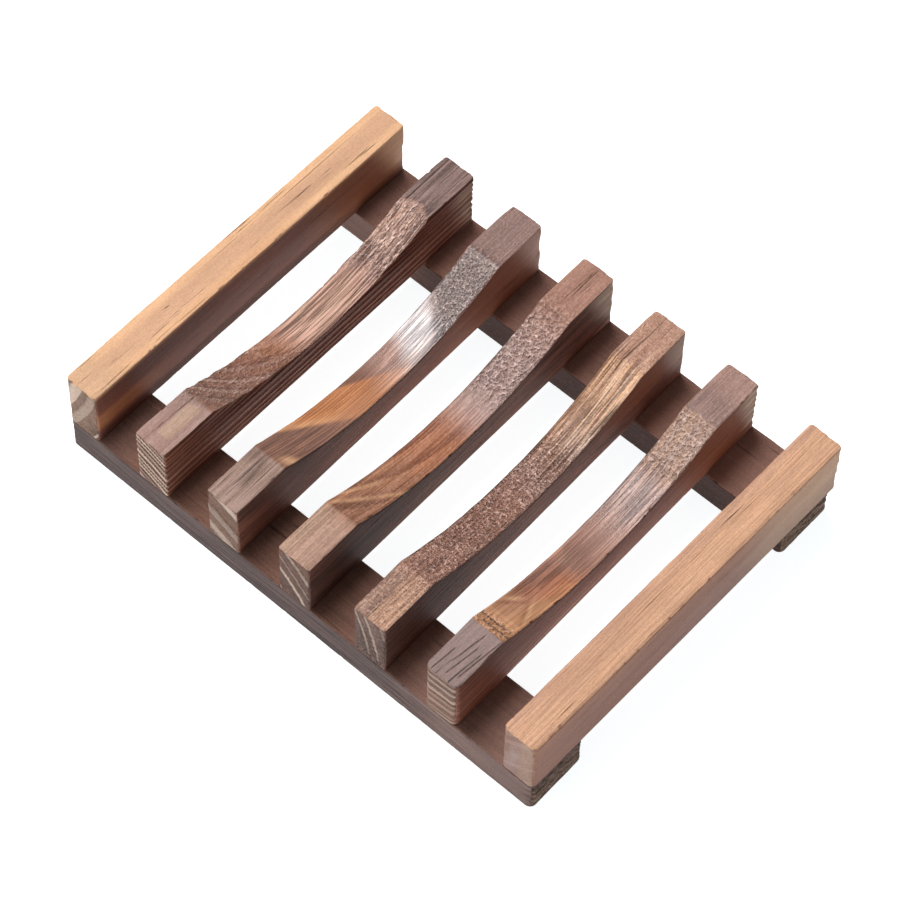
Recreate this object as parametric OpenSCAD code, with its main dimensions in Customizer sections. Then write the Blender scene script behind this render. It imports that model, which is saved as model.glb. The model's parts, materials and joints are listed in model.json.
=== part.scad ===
// Slatted wooden soap dish. Two rails lie flat on the counter, and seven slats stand on edge across
// them. The five middle slats are scooped out on top, so that together they cradle a bar of soap,
// and the two end slats keep their full height and stop the soap from sliding off. Water drains
// through the gaps between the slats and runs away under them, between the rails.
// Each slat is held by one brad at each rail, driven up from underneath.
// The origin is at the middle of the footprint, at the height of the counter. X runs along the
// rails, Y along the slats from front to back, and Z is up.

/* [Rails] */
// Length of a rail, from the outer side of one end slat to the outer side of the other
rail_length = 120; // [100:1:160]
// Width of a rail, which lies flat
rail_width = 15; // [10:0.5:20]
// Thickness of a rail, which lifts the slats off the counter
rail_thickness = 8.5; // [6:0.5:12]
// How far a rail's long edges are eased with the plane
rail_edge_ease = 0.5; // [0.2:0.1:1]

/* [Slats] */
// Length of a slat, from the front of the dish to the back
slat_length = 89; // [80:1:120]
// Thickness of a slat, as seen from above
slat_thickness = 8; // [6:0.5:10]
// Height of a slat, which stands on edge
slat_height = 15; // [12:0.5:20]
// How far a slat's long edges are eased with the plane
slat_edge_ease = 0.5; // [0.2:0.1:1]

/* [Soap scoop] */
// Length of the hollow cut into the top of a scooped slat
scoop_length = 61.5; // [40:0.5:70]
// Depth of the hollow at its lowest place
scoop_depth = 7.3; // [3:0.1:8]

/* [Brads] */
// Whole length of a brad, from the top of its head to its point
brad_length = 16; // [14:0.5:18]
// Diameter of a brad's shank
brad_diameter = 1.2; // [0.8:0.1:2]
// Diameter of a brad's head
brad_head_diameter = 2.4; // [2.2:0.1:4]
// Thickness of a brad's head
brad_head_thickness = 0.6; // [0.4:0.1:1]
// Length of the tapered point of a brad
brad_point_length = 1.6; // [1:0.1:3]
// How far a brad's head is sunk below the rail's underside
brad_sink = 0.4; // [0.2:0.1:1]

/* [Clearances] */
// Gap all round a brad's shank in its hole
shank_clearance = 0.05; // [0.02:0.01:0.1]
// Gap all round a brad's head in its recess
head_clearance = 0.1; // [0.05:0.05:0.3]
// Gap past a brad's point at the blind end of its hole
point_clearance = 0.2; // [0.1:0.1:0.5]

/* [Hidden] */
// Slats in all: one at each end and the scooped ones between them
slat_count = 7;
slat_pitch = (rail_length - slat_thickness) / (slat_count - 1);

// The slats are laid by hand and aren't quite parallel. These are the sideways shifts of each
// slat's front and back ends, from left to right, as shares of the pitch.
front_drift_shares = [0, 0, 0.01, 0, 0.03, -0.02, 0];
back_drift_shares = [0, 0.01, -0.03, -0.02, -0.04, -0.06, 0.04];

// A rail's outer face is flush with the ends of the slats
rail_offset = (slat_length - rail_width) / 2;
dish_height = rail_thickness + slat_height;

// The hollow is part of a round cylinder that lies across all the slats
scoop_radius = (scoop_length * scoop_length / 4 + scoop_depth * scoop_depth) / (2 * scoop_depth);
scoop_axis_height = dish_height - scoop_depth + scoop_radius;

// A cut runs on past the face that it starts from by this much
overrun = 1;

tan_wood = "#D6A578";
brown_wood = "#7E5A52";
dark_wood = "#4F3A34";
steel = "#A8A39B";

$fn = 96;

// Sideways lean of a slat: how far its centre line moves in X for each millimetre in Y
function slat_slope(index) =
    (back_drift_shares[index] - front_drift_shares[index]) * slat_pitch / slat_length;

// X of a slat's centre line at its middle
function slat_middle(index) =
    (index - (slat_count - 1) / 2) * slat_pitch
    + (front_drift_shares[index] + back_drift_shares[index]) / 2 * slat_pitch;

// X of a slat's centre line at a given Y
function slat_x(index, y) = slat_middle(index) + slat_slope(index) * y;

// A batten centred on the origin, with its foot at zero height and its long edges eased
module batten(width, height, length, ease) {
    side = width / 2;
    end = length / 2;
    translate([0, end, 0])
        rotate([90, 0, 0])
            linear_extrude(height = length)
                polygon([
                    [ease - side, 0],
                    [side - ease, 0],
                    [side, ease],
                    [side, height - ease],
                    [side - ease, height],
                    [ease - side, height],
                    [-side, height - ease],
                    [-side, ease]
                ]);
}

// The hole that one brad's shank makes, from the underside of the rail to just past its point
module brad_hole(index, side) {
    y = side * rail_offset;
    translate([slat_x(index, y), y, -overrun])
        cylinder(h = overrun + brad_sink + brad_length + point_clearance, d = brad_diameter + 2 * shank_clearance);
}

// The recess for one brad's head in the underside of the rail
module brad_recess(index, side) {
    y = side * rail_offset;
    translate([slat_x(index, y), y, -overrun])
        cylinder(h = overrun + brad_sink + brad_head_thickness, d = brad_head_diameter + 2 * head_clearance);
}

// One brad, head down, with its head seated against the floor of its recess
module brad(index, side) {
    y = side * rail_offset;
    translate([slat_x(index, y), y, brad_sink]) {
        cylinder(h = brad_head_thickness, d = brad_head_diameter);
        cylinder(h = brad_length - brad_point_length, d = brad_diameter);
        translate([0, 0, brad_length - brad_point_length])
            cylinder(h = brad_point_length, d1 = brad_diameter, d2 = 0);
    }
}

// The bare slat in its place on the rails, before it is drilled and scooped
module slat_blank(index) {
    translate([slat_middle(index), 0, rail_thickness])
        rotate([0, 0, -atan(slat_slope(index))])
            batten(slat_thickness, slat_height, slat_length, slat_edge_ease);
}

module end_slat(index) {
    color(tan_wood)
        difference() {
            slat_blank(index);
            for (side = [-1, 1]) brad_hole(index, side);
        }
}

module scooped_slat(index) {
    color(brown_wood)
        difference() {
            slat_blank(index);
            translate([slat_middle(index), 0, scoop_axis_height])
                rotate([0, 90, 0])
                    cylinder(h = 2 * slat_pitch, r = scoop_radius, center = true, $fn = 240);
            for (side = [-1, 1]) brad_hole(index, side);
        }
}

module rail(side) {
    color(dark_wood)
        difference() {
            translate([0, side * rail_offset, 0])
                rotate([0, 0, 90])
                    batten(rail_width, rail_thickness, rail_length, rail_edge_ease);
            for (index = [0 : slat_count - 1]) {
                brad_hole(index, side);
                brad_recess(index, side);
            }
        }
}

module rail_brads(side) {
    color(steel)
        for (index = [0 : slat_count - 1]) brad(index, side);
}

end_slat(0);  // left_end_slat
scooped_slat(1);  // scooped_slat_1
scooped_slat(2);  // scooped_slat_2
scooped_slat(3);  // scooped_slat_3
scooped_slat(4);  // scooped_slat_4
scooped_slat(5);  // scooped_slat_5
end_slat(slat_count - 1);  // right_end_slat
rail(-1);  // front_rail
rail(1);  // back_rail
rail_brads(-1);  // front_rail_brads
rail_brads(1);  // back_rail_brads
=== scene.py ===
# %% [markdown]
# # A slatted soap dish in charred fir
# The dish is nine battens of fir and fourteen brads. What makes it look real is the wood: battens
# that were sawn, scorched, brushed and, in five of them, scooped. So most of this lesson is about
# one idea. The growth rings are worked out once, as a field that runs through each batten, and
# both the shape (ridges, scalloped ends) and the colour (stripes, end grain) read that same field.
#
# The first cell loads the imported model. It is the fixed frame: every piece made here goes where
# the model says, and nothing reaches outside the model's box.

# %% Load the frame
import json
import math
from functools import partial
from typing import NamedTuple

import bpy
import numpy as np
from mathutils import Matrix, Vector

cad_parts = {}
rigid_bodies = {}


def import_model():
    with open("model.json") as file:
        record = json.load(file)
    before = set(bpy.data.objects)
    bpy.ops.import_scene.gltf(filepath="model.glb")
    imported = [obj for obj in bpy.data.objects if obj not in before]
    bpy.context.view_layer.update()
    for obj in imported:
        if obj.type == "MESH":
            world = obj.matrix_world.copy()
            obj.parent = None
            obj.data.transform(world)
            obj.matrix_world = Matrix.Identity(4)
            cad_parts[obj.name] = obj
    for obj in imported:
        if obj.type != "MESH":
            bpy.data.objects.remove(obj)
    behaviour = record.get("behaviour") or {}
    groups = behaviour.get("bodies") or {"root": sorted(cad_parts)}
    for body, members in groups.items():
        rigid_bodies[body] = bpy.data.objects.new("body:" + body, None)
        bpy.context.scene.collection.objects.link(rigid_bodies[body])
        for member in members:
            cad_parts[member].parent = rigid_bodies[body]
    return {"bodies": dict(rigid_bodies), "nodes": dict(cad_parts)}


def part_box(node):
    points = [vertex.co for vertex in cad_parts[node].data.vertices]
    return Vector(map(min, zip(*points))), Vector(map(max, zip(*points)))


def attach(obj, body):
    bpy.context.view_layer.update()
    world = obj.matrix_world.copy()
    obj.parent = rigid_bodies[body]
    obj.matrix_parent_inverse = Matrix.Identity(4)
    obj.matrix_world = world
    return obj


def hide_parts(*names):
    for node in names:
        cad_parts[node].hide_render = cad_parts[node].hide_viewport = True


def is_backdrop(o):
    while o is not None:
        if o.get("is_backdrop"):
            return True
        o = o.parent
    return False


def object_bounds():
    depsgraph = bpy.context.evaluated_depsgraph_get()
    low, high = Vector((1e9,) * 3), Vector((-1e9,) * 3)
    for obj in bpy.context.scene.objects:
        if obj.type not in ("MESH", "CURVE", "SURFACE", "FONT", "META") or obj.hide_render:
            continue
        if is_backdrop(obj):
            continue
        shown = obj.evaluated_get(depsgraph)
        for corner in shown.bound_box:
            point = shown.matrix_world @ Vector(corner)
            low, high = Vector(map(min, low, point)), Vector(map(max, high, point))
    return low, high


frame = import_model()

MM = 0.001
cad_low, cad_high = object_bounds()
print("CAD box in mm:", [round(v / MM, 2) for v in cad_high - cad_low])

# %% [markdown]
# ## Sizes from the frame
# The frame gives every size that a piece has. A slat may be a little askew, because such a dish is
# nailed up by hand, so the middle of each of its ends is read from the vertices of the model's
# own slat, and not worked out from an even pitch.

# %% Read the sizes of the battens
SLATS = ["left_end_slat", *[f"scooped_slat_{n}" for n in range(1, 6)], "right_end_slat"]
RAILS = ["front_rail", "back_rail"]
BRADS = ["front_rail_brads", "back_rail_brads"]
END_SLATS = (SLATS[0], SLATS[-1])
END_ZONE = 1.0

slat_low, slat_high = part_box(SLATS[0])
rail_low, rail_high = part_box(RAILS[0])
rail_across = rail_high - rail_low
SLAT_SIZE = np.array(slat_high - slat_low) / MM
RAIL_SIZE = np.array([rail_across.y, rail_across.x, rail_across.z]) / MM


def node_points(node):
    """The places of a CAD node's vertices, in millimetres."""
    return np.array([v.co for v in frame["nodes"][node].data.vertices], float) / MM


def slat_ends(node):
    """The middle, in X and Y, of a slat's front end and of its back end, in millimetres."""
    points = node_points(node)
    y = points[:, 1]
    ends = [points[y < y.min() + END_ZONE], points[y > y.max() - END_ZONE]]
    return [(end[:, :2].min(0) + end[:, :2].max(0)) / 2 for end in ends]


print("slat:", SLAT_SIZE.round(2), "rail:", RAIL_SIZE.round(2))

# %% [markdown]
# ## The scoop and the brads' recesses
# The scoop is a round cylinder that lies across the slats. Its radius follows from two measures
# of the model's slat: how long the hollow is and how deep. Under each rail there is a round recess
# for the head of each brad, and its size is read in the same way.

# %% Measure the scoop and the recesses
RECESS_ROOF_BETWEEN = (0.6, 2.0)
middle_slat = node_points(SLATS[3])
flat_top = middle_slat[middle_slat[:, 2] > middle_slat[:, 2].max() - 0.01]
central = middle_slat[np.abs(middle_slat[:, 1]) < SLAT_SIZE[1] / 20]
scoop_floor = central[central[:, 2] > central[:, 2].mean(), 2].min()
SCOOP_LENGTH = 2 * np.abs(flat_top[:, 1]).min()
SCOOP_DEPTH = middle_slat[:, 2].max() - scoop_floor
SCOOP_RADIUS = (SCOOP_LENGTH**2 / 4 + SCOOP_DEPTH**2) / (2 * SCOOP_DEPTH)


def brad_places(rail):
    """The X and Y of each brad of a rail: the middle of its slat, over the middle of the rail."""
    low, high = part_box(rail)
    y = (low.y + high.y) / 2 / MM
    places = []
    for node in SLATS:
        front, rear = slat_ends(node)
        places.append((np.interp(y, (front[1], rear[1]), (front[0], rear[0])), y))
    return np.array(places)


rail_points = node_points(RAILS[0])
height = rail_points[:, 2]
recess = rail_points[(height > RECESS_ROOF_BETWEEN[0]) & (height < RECESS_ROOF_BETWEEN[1])]
away = np.linalg.norm(recess[:, None, :2] - brad_places(RAILS[0]), axis=2).min(1)
RECESS_RADIUS, RECESS_DEPTH = away.max(), recess[:, 2].max()
print("scoop:", round(SCOOP_LENGTH, 2), "long and", round(SCOOP_DEPTH, 2), "deep")
print("radius of the scoop:", round(SCOOP_RADIUS, 2))
print("recess: radius", round(RECESS_RADIUS, 2), "and", round(RECESS_DEPTH, 2), "deep")

# %% [markdown]
# ## Camera
# The camera looks down on the dish from its front right corner, with a long lens, so that the
# battens stay almost parallel. It is turned a little about its own line of sight.

# %% Set up the camera
CAMERA_AZIMUTH = math.radians(40.14)
CAMERA_ELEVATION = math.radians(58.41)
CAMERA_ROLL = math.radians(1.85)
CAMERA_DISTANCE = 698.8 * MM
CAMERA_AIM = Vector((-0.2, 0.2, 8.5)) * MM
CAMERA_LENS = 143.2
CAMERA_SENSOR = 36

level_reach = math.cos(CAMERA_ELEVATION)
sideways = math.sin(CAMERA_AZIMUTH) * level_reach
forwards = -math.cos(CAMERA_AZIMUTH) * level_reach
sightline = Vector((sideways, forwards, math.sin(CAMERA_ELEVATION)))
camera = bpy.data.objects.new("camera", bpy.data.cameras.new("camera"))
bpy.context.scene.collection.objects.link(camera)
bpy.context.scene.camera = camera
camera.data.lens = CAMERA_LENS
camera.data.sensor_width = CAMERA_SENSOR
camera.data.clip_start = 0.05
camera.location = CAMERA_AIM + sightline * CAMERA_DISTANCE
level = (-sightline).to_track_quat("-Z", "Y").to_matrix()
camera.rotation_euler = (level @ Matrix.Rotation(CAMERA_ROLL, 3, "Z")).to_euler()
print("camera at", [round(v, 4) for v in camera.location])

# %% [markdown]
# ## Helpers
# Colours are written as sRGB hex, as a paint chart gives them, and one function turns them to the
# linear values that light adds up in. One function adds a node: it takes the node's inputs, by
# place or by name, and each may be a plain value or another node's output. The kinds of node that
# are used most get short names. A few nodes need their sockets' numbers: a mix takes two numbers at
# 2 and 3 but two colours at 6 and 7, and a vector is scaled by socket 3. From here on, g is the
# tree that shapes a batten and t is the tree of a material.

# %% Colour and node helpers
MATHS, VECTORS, RANGES = "ShaderNodeMath", "ShaderNodeVectorMath", "ShaderNodeMapRange"
NOISE, MIX = "ShaderNodeTexNoise", "ShaderNodeMix"
PAINTED, STORED = "GeometryNodeInputNamedAttribute", "ShaderNodeAttribute"
JOIN, PARTS = "ShaderNodeCombineXYZ", "ShaderNodeSeparateXYZ"


def linear(code):
    """The linear RGBA of an sRGB hex code such as #C48A50."""
    srgb = np.array([int(code[k : k + 2], 16) for k in (1, 3, 5)]) / 255
    rgb = np.where(srgb <= 0.04045, srgb / 12.92, ((srgb + 0.055) / 1.055) ** 2.4)
    return (*rgb.tolist(), 1.0)


def add(tree, kind, values=(), out=0, **settings):
    """Adds a node with its settings and inputs, and gives back one of its outputs."""
    node = tree.nodes.new(kind)
    for setting, value in settings.items():
        setattr(node, setting, value)
    for key, value in values.items() if isinstance(values, dict) else enumerate(values):
        if isinstance(value, bpy.types.NodeSocket):
            tree.links.new(value, node.inputs[key])
        elif value is not None:
            node.inputs[key].default_value = value
    return node.outputs[out]


print("sRGB mid grey is", round(linear("#808080")[0], 3), "in linear light")

# %% [markdown]
# ## The tree that shapes a batten
# A real batten starts as a sawn blank. Its scoop is cut, its edges are eased, the soft wood between
# the growth rings is burnt and brushed away, and where the cutter met rising grain the fibres are
# torn out. The next cells build one Geometry Nodes tree that does the same things to a fine closed
# box, step by step. All its lengths are in millimetres, and these are its inputs.

# %% Name the inputs of the batten tree
BATTEN_INPUTS = {
    "Width": 8.0,
    "Length": 89.0,
    "Height": 15.0,
    "Scoop Radius": 70.0,
    "Scoop Depth": 0.0,
    "Edge Radius": 0.35,
    "Front Corner": 0.6,
    "Back Corner": 0.8,
    "Pith X": -40.0,
    "Pith Z": -20.0,
    "Lean X": 0.0,
    "Lean Z": 0.0,
    "Ring Width": 2.0,
    "Ring Start": 0.0,
    "Ring Drift": 1.6,
    "Waviness": 0.7,
    "Line Share": 0.3,
    "Skew": 0.0,
    "Ridge Depth": 0.14,
    "Front Depth": 0.12,
    "Back Depth": 0.28,
    "Torn Depth": 0.28,
    "Tear Across": 1.6,
    "Tear Along": 1.6,
    "Chip Depth": 0.35,
    "Seed": 1.0,
}
print("the batten tree has", len(BATTEN_INPUTS), "numbers to set")

# %% [markdown]
# ### The scoop
# Each point of the blank is lowered in proportion, so that the top comes down to the floor of the
# scoop and the foot stays where it is. A boolean cut would work too, but it would leave long thin
# faces that can't carry the fine relief.

# %% Cut the scoop
def cut_scoop(g, given, blank):
    """The blank's points after the cut, the height of the top over each, and what was taken off."""
    sides = add(g, PARTS, (blank,)).node.outputs
    along = add(g, MATHS, (sides["Y"], sides["Y"]), operation="MULTIPLY")
    squared = add(g, MATHS, (given["Scoop Radius"], given["Scoop Radius"]), operation="MULTIPLY")
    drop = add(g, MATHS, (add(g, MATHS, (squared, along), operation="SUBTRACT"),), operation="SQRT")
    rise = add(g, MATHS, (given["Scoop Radius"], drop), operation="SUBTRACT")
    lowest = add(g, MATHS, (given["Height"], given["Scoop Depth"]), operation="SUBTRACT")
    top = add(g, MATHS, (add(g, MATHS, (lowest, rise)), given["Height"]), operation="MINIMUM")
    share = add(g, MATHS, (top, given["Height"]), operation="DIVIDE")
    lowered = add(g, MATHS, (sides["Z"], share), operation="MULTIPLY")
    taken = add(g, MATHS, (sides["Z"], lowered), operation="SUBTRACT")
    return add(g, JOIN, (sides["X"], sides["Y"], lowered)), top, taken


print("the scoop leaves", round(SLAT_SIZE[2] - SCOOP_DEPTH, 2), "mm of a slat's height")

# %% [markdown]
# ### Eased edges and corners
# A rounded box is a smaller box with a skin around it: each point goes to the nearest point of the
# smaller box, and then out again by the radius. The radius wanders, because the edges were eased
# by hand, and it is small along the foot, which was left sharp. The four upright corners are
# rounded more, by drawing a square at each corner in to a quarter of a disc.

# %% Ease the edges
EDGE_WAVES_PER_MM = 0.16
EDGE_WANDER = (0.6, 1.5)
SHARP_FOOT = (0.5, 3.0)
FOOT_SHARE = 0.4


def ease_edges(g, given, blank, cut, top):
    """The points with eased edges, and the direction in which the surface faces at each."""
    half_width = add(g, MATHS, (given["Width"], 0.5), operation="MULTIPLY")
    half_length = add(g, MATHS, (given["Length"], 0.5), operation="MULTIPLY")
    uneven = {"Vector": blank, "W": given["Seed"], "Scale": EDGE_WAVES_PER_MM, "Detail": 2.0}
    uneven = add(g, NOISE, uneven, noise_dimensions="4D")
    uneven = add(g, RANGES, (uneven, 0.3, 0.7, *EDGE_WANDER))
    foot = add(g, PARTS, (blank,), out="Z")
    foot = add(g, RANGES, (foot, *SHARP_FOOT, FOOT_SHARE, 1.0))
    radius = add(g, MATHS, (given["Edge Radius"], uneven), operation="MULTIPLY")
    radius = add(g, MATHS, (radius, foot), operation="MULTIPLY")
    low_x = add(g, MATHS, (radius, half_width), operation="SUBTRACT")
    low_y = add(g, MATHS, (radius, half_length), operation="SUBTRACT")
    high_x = add(g, MATHS, (half_width, radius), operation="SUBTRACT")
    high_y = add(g, MATHS, (half_length, radius), operation="SUBTRACT")
    high_z = add(g, MATHS, (top, radius), operation="SUBTRACT")
    core = add(g, VECTORS, (cut, add(g, JOIN, (low_x, low_y, radius))), operation="MAXIMUM")
    core = add(g, VECTORS, (core, add(g, JOIN, (high_x, high_y, high_z))), operation="MINIMUM")
    outward = add(g, VECTORS, (cut, core), operation="SUBTRACT")
    outward = add(g, VECTORS, (outward,), operation="NORMALIZE")
    skin = add(g, VECTORS, {0: outward, 3: radius}, operation="SCALE")
    return add(g, VECTORS, (core, skin)), outward


print("usual edge radius:", BATTEN_INPUTS["Edge Radius"], "mm")

# %% Round the upright corners
def round_corners(g, given, eased, is_back):
    """Draws the square at each upright corner in to a quarter of a disc."""
    corner = add(g, MIX, {0: is_back, 2: given["Front Corner"], 3: given["Back Corner"]})
    half_width = add(g, MATHS, (given["Width"], 0.5), operation="MULTIPLY")
    half_length = add(g, MATHS, (given["Length"], 0.5), operation="MULTIPLY")
    square_x = add(g, MATHS, (half_width, corner), operation="SUBTRACT")
    square_y = add(g, MATHS, (half_length, corner), operation="SUBTRACT")
    square = add(g, JOIN, (square_x, square_y, 0.0))
    flat = add(g, VECTORS, (eased, (1.0, 1.0, 0.0)), operation="MULTIPLY")
    inner = add(g, VECTORS, (flat, square), operation="MINIMUM")
    opposite = add(g, VECTORS, {0: square, 3: -1.0}, operation="SCALE")
    inner = add(g, VECTORS, (inner, opposite), operation="MAXIMUM")
    beyond = add(g, VECTORS, (flat, inner), operation="SUBTRACT")
    parts = add(g, PARTS, (add(g, VECTORS, (beyond,), operation="ABSOLUTE"),)).node.outputs
    longest = add(g, MATHS, (parts["X"], parts["Y"]), operation="MAXIMUM")
    length = add(g, VECTORS, (beyond,), operation="LENGTH", out="Value")
    length = add(g, MATHS, (length, 0.0001), operation="MAXIMUM")
    shrink = add(g, MATHS, (longest, length), operation="DIVIDE")
    shrink = add(g, MATHS, (shrink, 1.0), operation="SUBTRACT")
    return add(g, VECTORS, (eased, add(g, VECTORS, {0: beyond, 3: shrink}, operation="SCALE")))


corners = BATTEN_INPUTS["Front Corner"], BATTEN_INPUTS["Back Corner"]
print("usual upright corners in mm, front and back:", *corners)

# %% [markdown]
# ### Growth rings
# The ring field is the distance from the tree's pith, which lies outside the batten and leans a
# little, divided by the width of a ring. Its whole part counts the rings, and its fraction runs
# from soft early wood (0) to hard late wood (1). A slow wobble bends the rings along the batten,
# and a slow drift makes some rings wider than others, as wet and dry years do.

# %% Grow the rings
WOBBLE_LENGTHS = (14, 60, 14)
YEARS_PER_MM = 0.19


def grow_rings(g, given, eased):
    """The ring field at each point."""
    slow = add(g, VECTORS, (eased, [1 / length for length in WOBBLE_LENGTHS]), operation="MULTIPLY")
    wobble = {"Vector": slow, "W": given["Seed"], "Scale": 1.0, "Detail": 2.0}
    wobble = add(g, NOISE, wobble, out="Color", noise_dimensions="4D")
    wobble = add(g, VECTORS, (wobble, (0.5, 0.5, 0.5)), operation="SUBTRACT")
    wobble = add(g, VECTORS, {0: wobble, 3: given["Waviness"]}, operation="SCALE")
    wandered = add(g, VECTORS, (eased, wobble))
    along = add(g, PARTS, (wandered,), out="Y")
    pith_x = add(g, MATHS, (given["Lean X"], along, given["Pith X"]), operation="MULTIPLY_ADD")
    pith_z = add(g, MATHS, (given["Lean Z"], along, given["Pith Z"]), operation="MULTIPLY_ADD")
    pith = add(g, JOIN, (pith_x, along, pith_z))
    distance = add(g, VECTORS, (wandered, pith), operation="DISTANCE", out="Value")
    year = add(g, MATHS, (distance, YEARS_PER_MM, given["Seed"]), operation="MULTIPLY_ADD")
    drift = add(g, NOISE, {"W": year, "Scale": 1.0, "Detail": 1.0}, noise_dimensions="1D")
    rings = add(g, MATHS, (distance, given["Ring Width"]), operation="DIVIDE")
    rings = add(g, MATHS, (rings, given["Ring Start"]))
    return add(g, MATHS, (drift, given["Ring Drift"], rings), operation="MULTIPLY_ADD")


print("the rings wobble over", WOBBLE_LENGTHS[1], "mm along the grain")

# %% [markdown]
# ### Ridges
# Brushing takes the soft early wood away and leaves the late wood as a ridge. Each ring has its own
# strength. On the sides the ridges are as deep as the figure that is painted there. On a flat top,
# which was planed, they are shallow, and near the ends they deepen, because end grain burns most.

# %% Raise the late wood
RIDGE_SWELL = (0.3, 0.8)
RIDGE_FALL = (0.9, 1.0)
BETWEEN_RINGS = 3.7
BURNT_END = 3.5
FLAT_TOP_SHARE = 0.35


def ring_strength(tree, rings, least):
    """How strong the ring is that a point lies in, from the least strength to 1."""
    count = add(tree, MATHS, (rings,), operation="FLOOR")
    own = {"W": count, "Scale": BETWEEN_RINGS, "Detail": 0.0}
    own = add(tree, NOISE, own, noise_dimensions="1D")
    return add(tree, RANGES, (own, 0.35, 0.65, least, 1.0))


def brushed_depth(g, given, rings, sides, outward, is_back):
    """How deep the brush went at each point."""
    within = add(g, MATHS, (rings,), operation="FRACT")
    swell = add(g, RANGES, (within, *RIDGE_SWELL), interpolation_type="SMOOTHSTEP")
    fall = add(g, RANGES, (within, *RIDGE_FALL, 1.0, 0.0), interpolation_type="SMOOTHSTEP")
    late = add(g, MATHS, (swell, fall), operation="MULTIPLY")
    soft = add(g, MATHS, (1.0, late), operation="SUBTRACT")
    soft = add(g, MATHS, (soft, ring_strength(g, rings, 0.4)), operation="MULTIPLY")
    half_length = add(g, MATHS, (given["Length"], 0.5), operation="MULTIPLY")
    last_part = add(g, MATHS, (half_length, BURNT_END), operation="SUBTRACT")
    reach = add(g, MATHS, (sides["Y"],), operation="ABSOLUTE")
    near_end = add(g, RANGES, (reach, last_part, half_length), interpolation_type="SMOOTHSTEP")
    end_depth = add(g, MIX, {0: is_back, 2: given["Front Depth"], 3: given["Back Depth"]})
    figured = add(g, PAINTED, {"Name": "figured"}, data_type="FLOAT")
    deep = add(g, MATHS, (figured, given["Ridge Depth"]), operation="MULTIPLY")
    deep = add(g, MATHS, (near_end, end_depth, deep), operation="MULTIPLY_ADD")
    upward = add(g, MATHS, (outward["Z"],), operation="ABSOLUTE")
    planed = add(g, RANGES, (upward, 0.3, 0.9, 1.0, FLAT_TOP_SHARE))
    deep = add(g, MATHS, (deep, planed), operation="MULTIPLY")
    return add(g, MATHS, (soft, deep), operation="MULTIPLY")


print("usual height of a ridge:", BATTEN_INPUTS["Ridge Depth"], "mm")

# %% [markdown]
# ### Torn grain
# Where the scoop rises, the cutter ran against the grain and tore the fibres out, which leaves
# bumps and pits of about half a millimetre. Each batten has its own number of them to a millimetre,
# across and along the grain, because no two tear alike. A coarse noise and a fine one make them.
# The shape and the material both call this one function, so the material's painted shade in the
# pits lies where the mesh is pitted, but the material takes more of the fine noise, which is about
# as fine as the mesh.

# %% Tear the grain
FINE_TO_COARSE = 2.3
FINE_SHARE_SHAPE = 0.3
FINE_SHARE_COLOUR = 0.5
PIT_LIMITS = (0.37, 0.63)
BETWEEN_BATTENS = (13.7, 31.1, 7.9)


def grain_place(g, given, eased, sides, taken, outward):
    """Where a point lies along and across the fibres. On the scooped top it follows the scoop."""
    facing_up = add(g, RANGES, (outward["Z"], 0.3, 0.8), interpolation_type="SMOOTHSTEP")
    lifted = add(g, MATHS, (taken, facing_up), operation="MULTIPLY")
    skewed = add(g, MATHS, (sides["Y"], given["Skew"]), operation="MULTIPLY")
    shift = add(g, JOIN, (skewed, 0.0, lifted))
    elsewhere = add(g, VECTORS, {0: BETWEEN_BATTENS, 3: given["Seed"]}, operation="SCALE")
    return add(g, VECTORS, (add(g, VECTORS, (eased, shift)), elsewhere))


def torn_pits(tree, tear, fine_share):
    """How deep in a pit of the torn grain a point is, from 0 to 1."""
    coarse = add(tree, NOISE, {"Vector": tear, "Scale": 1.0, "Detail": 1.0})
    fine = add(tree, NOISE, {"Vector": tear, "Scale": FINE_TO_COARSE, "Detail": 1.0})
    both = add(tree, MIX, {0: fine_share, 2: coarse, 3: fine})
    return add(tree, RANGES, (both, *PIT_LIMITS))


def torn_depth(g, given, tear):
    """How deep the torn pits are at each point."""
    torn = add(g, PAINTED, {"Name": "torn"}, data_type="FLOAT")
    torn = add(g, MATHS, (torn, given["Torn Depth"]), operation="MULTIPLY")
    return add(g, MATHS, (torn_pits(g, tear, FINE_SHARE_SHAPE), torn), operation="MULTIPLY")


print("usual depth of a torn pit:", BATTEN_INPUTS["Torn Depth"], "mm")

# %% [markdown]
# ### Chips, hollows and lobes
# Small chips are knocked out of the edges, brushing leaves faint long hollows in every side, and
# the back ends, which were crosscut with a coarse saw and then burnt, are lobed.

# %% Chip the edges
CHIPS_PER_MM = 0.55
CHIP_LIMITS = (0.56, 0.7)


def chip_depth(g, given, eased, outward):
    """How deep the chips along the edges are at each point."""
    facing = [add(g, MATHS, (outward[axis],), operation="ABSOLUTE") for axis in "XYZ"]
    widest = add(g, MATHS, (facing[1], facing[2]), operation="MAXIMUM")
    widest = add(g, MATHS, (facing[0], widest), operation="MAXIMUM")
    on_edge = add(g, RANGES, (widest, 0.98, 0.8), interpolation_type="SMOOTHSTEP")
    chips = {"Vector": eased, "W": given["Seed"], "Scale": CHIPS_PER_MM, "Detail": 3.0}
    chips = add(g, NOISE, chips, noise_dimensions="4D")
    chips = add(g, RANGES, (chips, *CHIP_LIMITS), interpolation_type="SMOOTHSTEP")
    chips = add(g, MATHS, (chips, on_edge), operation="MULTIPLY")
    return add(g, MATHS, (chips, given["Chip Depth"]), operation="MULTIPLY")


print("usual depth of a chip:", BATTEN_INPUTS["Chip Depth"], "mm")

# %% Leave hollows and lobes
HOLLOWS = (0.3, 0.06, 0.3)
HOLLOW_LIMITS = (0.4, 0.7)
HOLLOW_DEPTH = 0.07
LOBES = (0.35, 0.0, 0.35)
LOBE_LIMITS = (0.48, 0.65)


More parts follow.
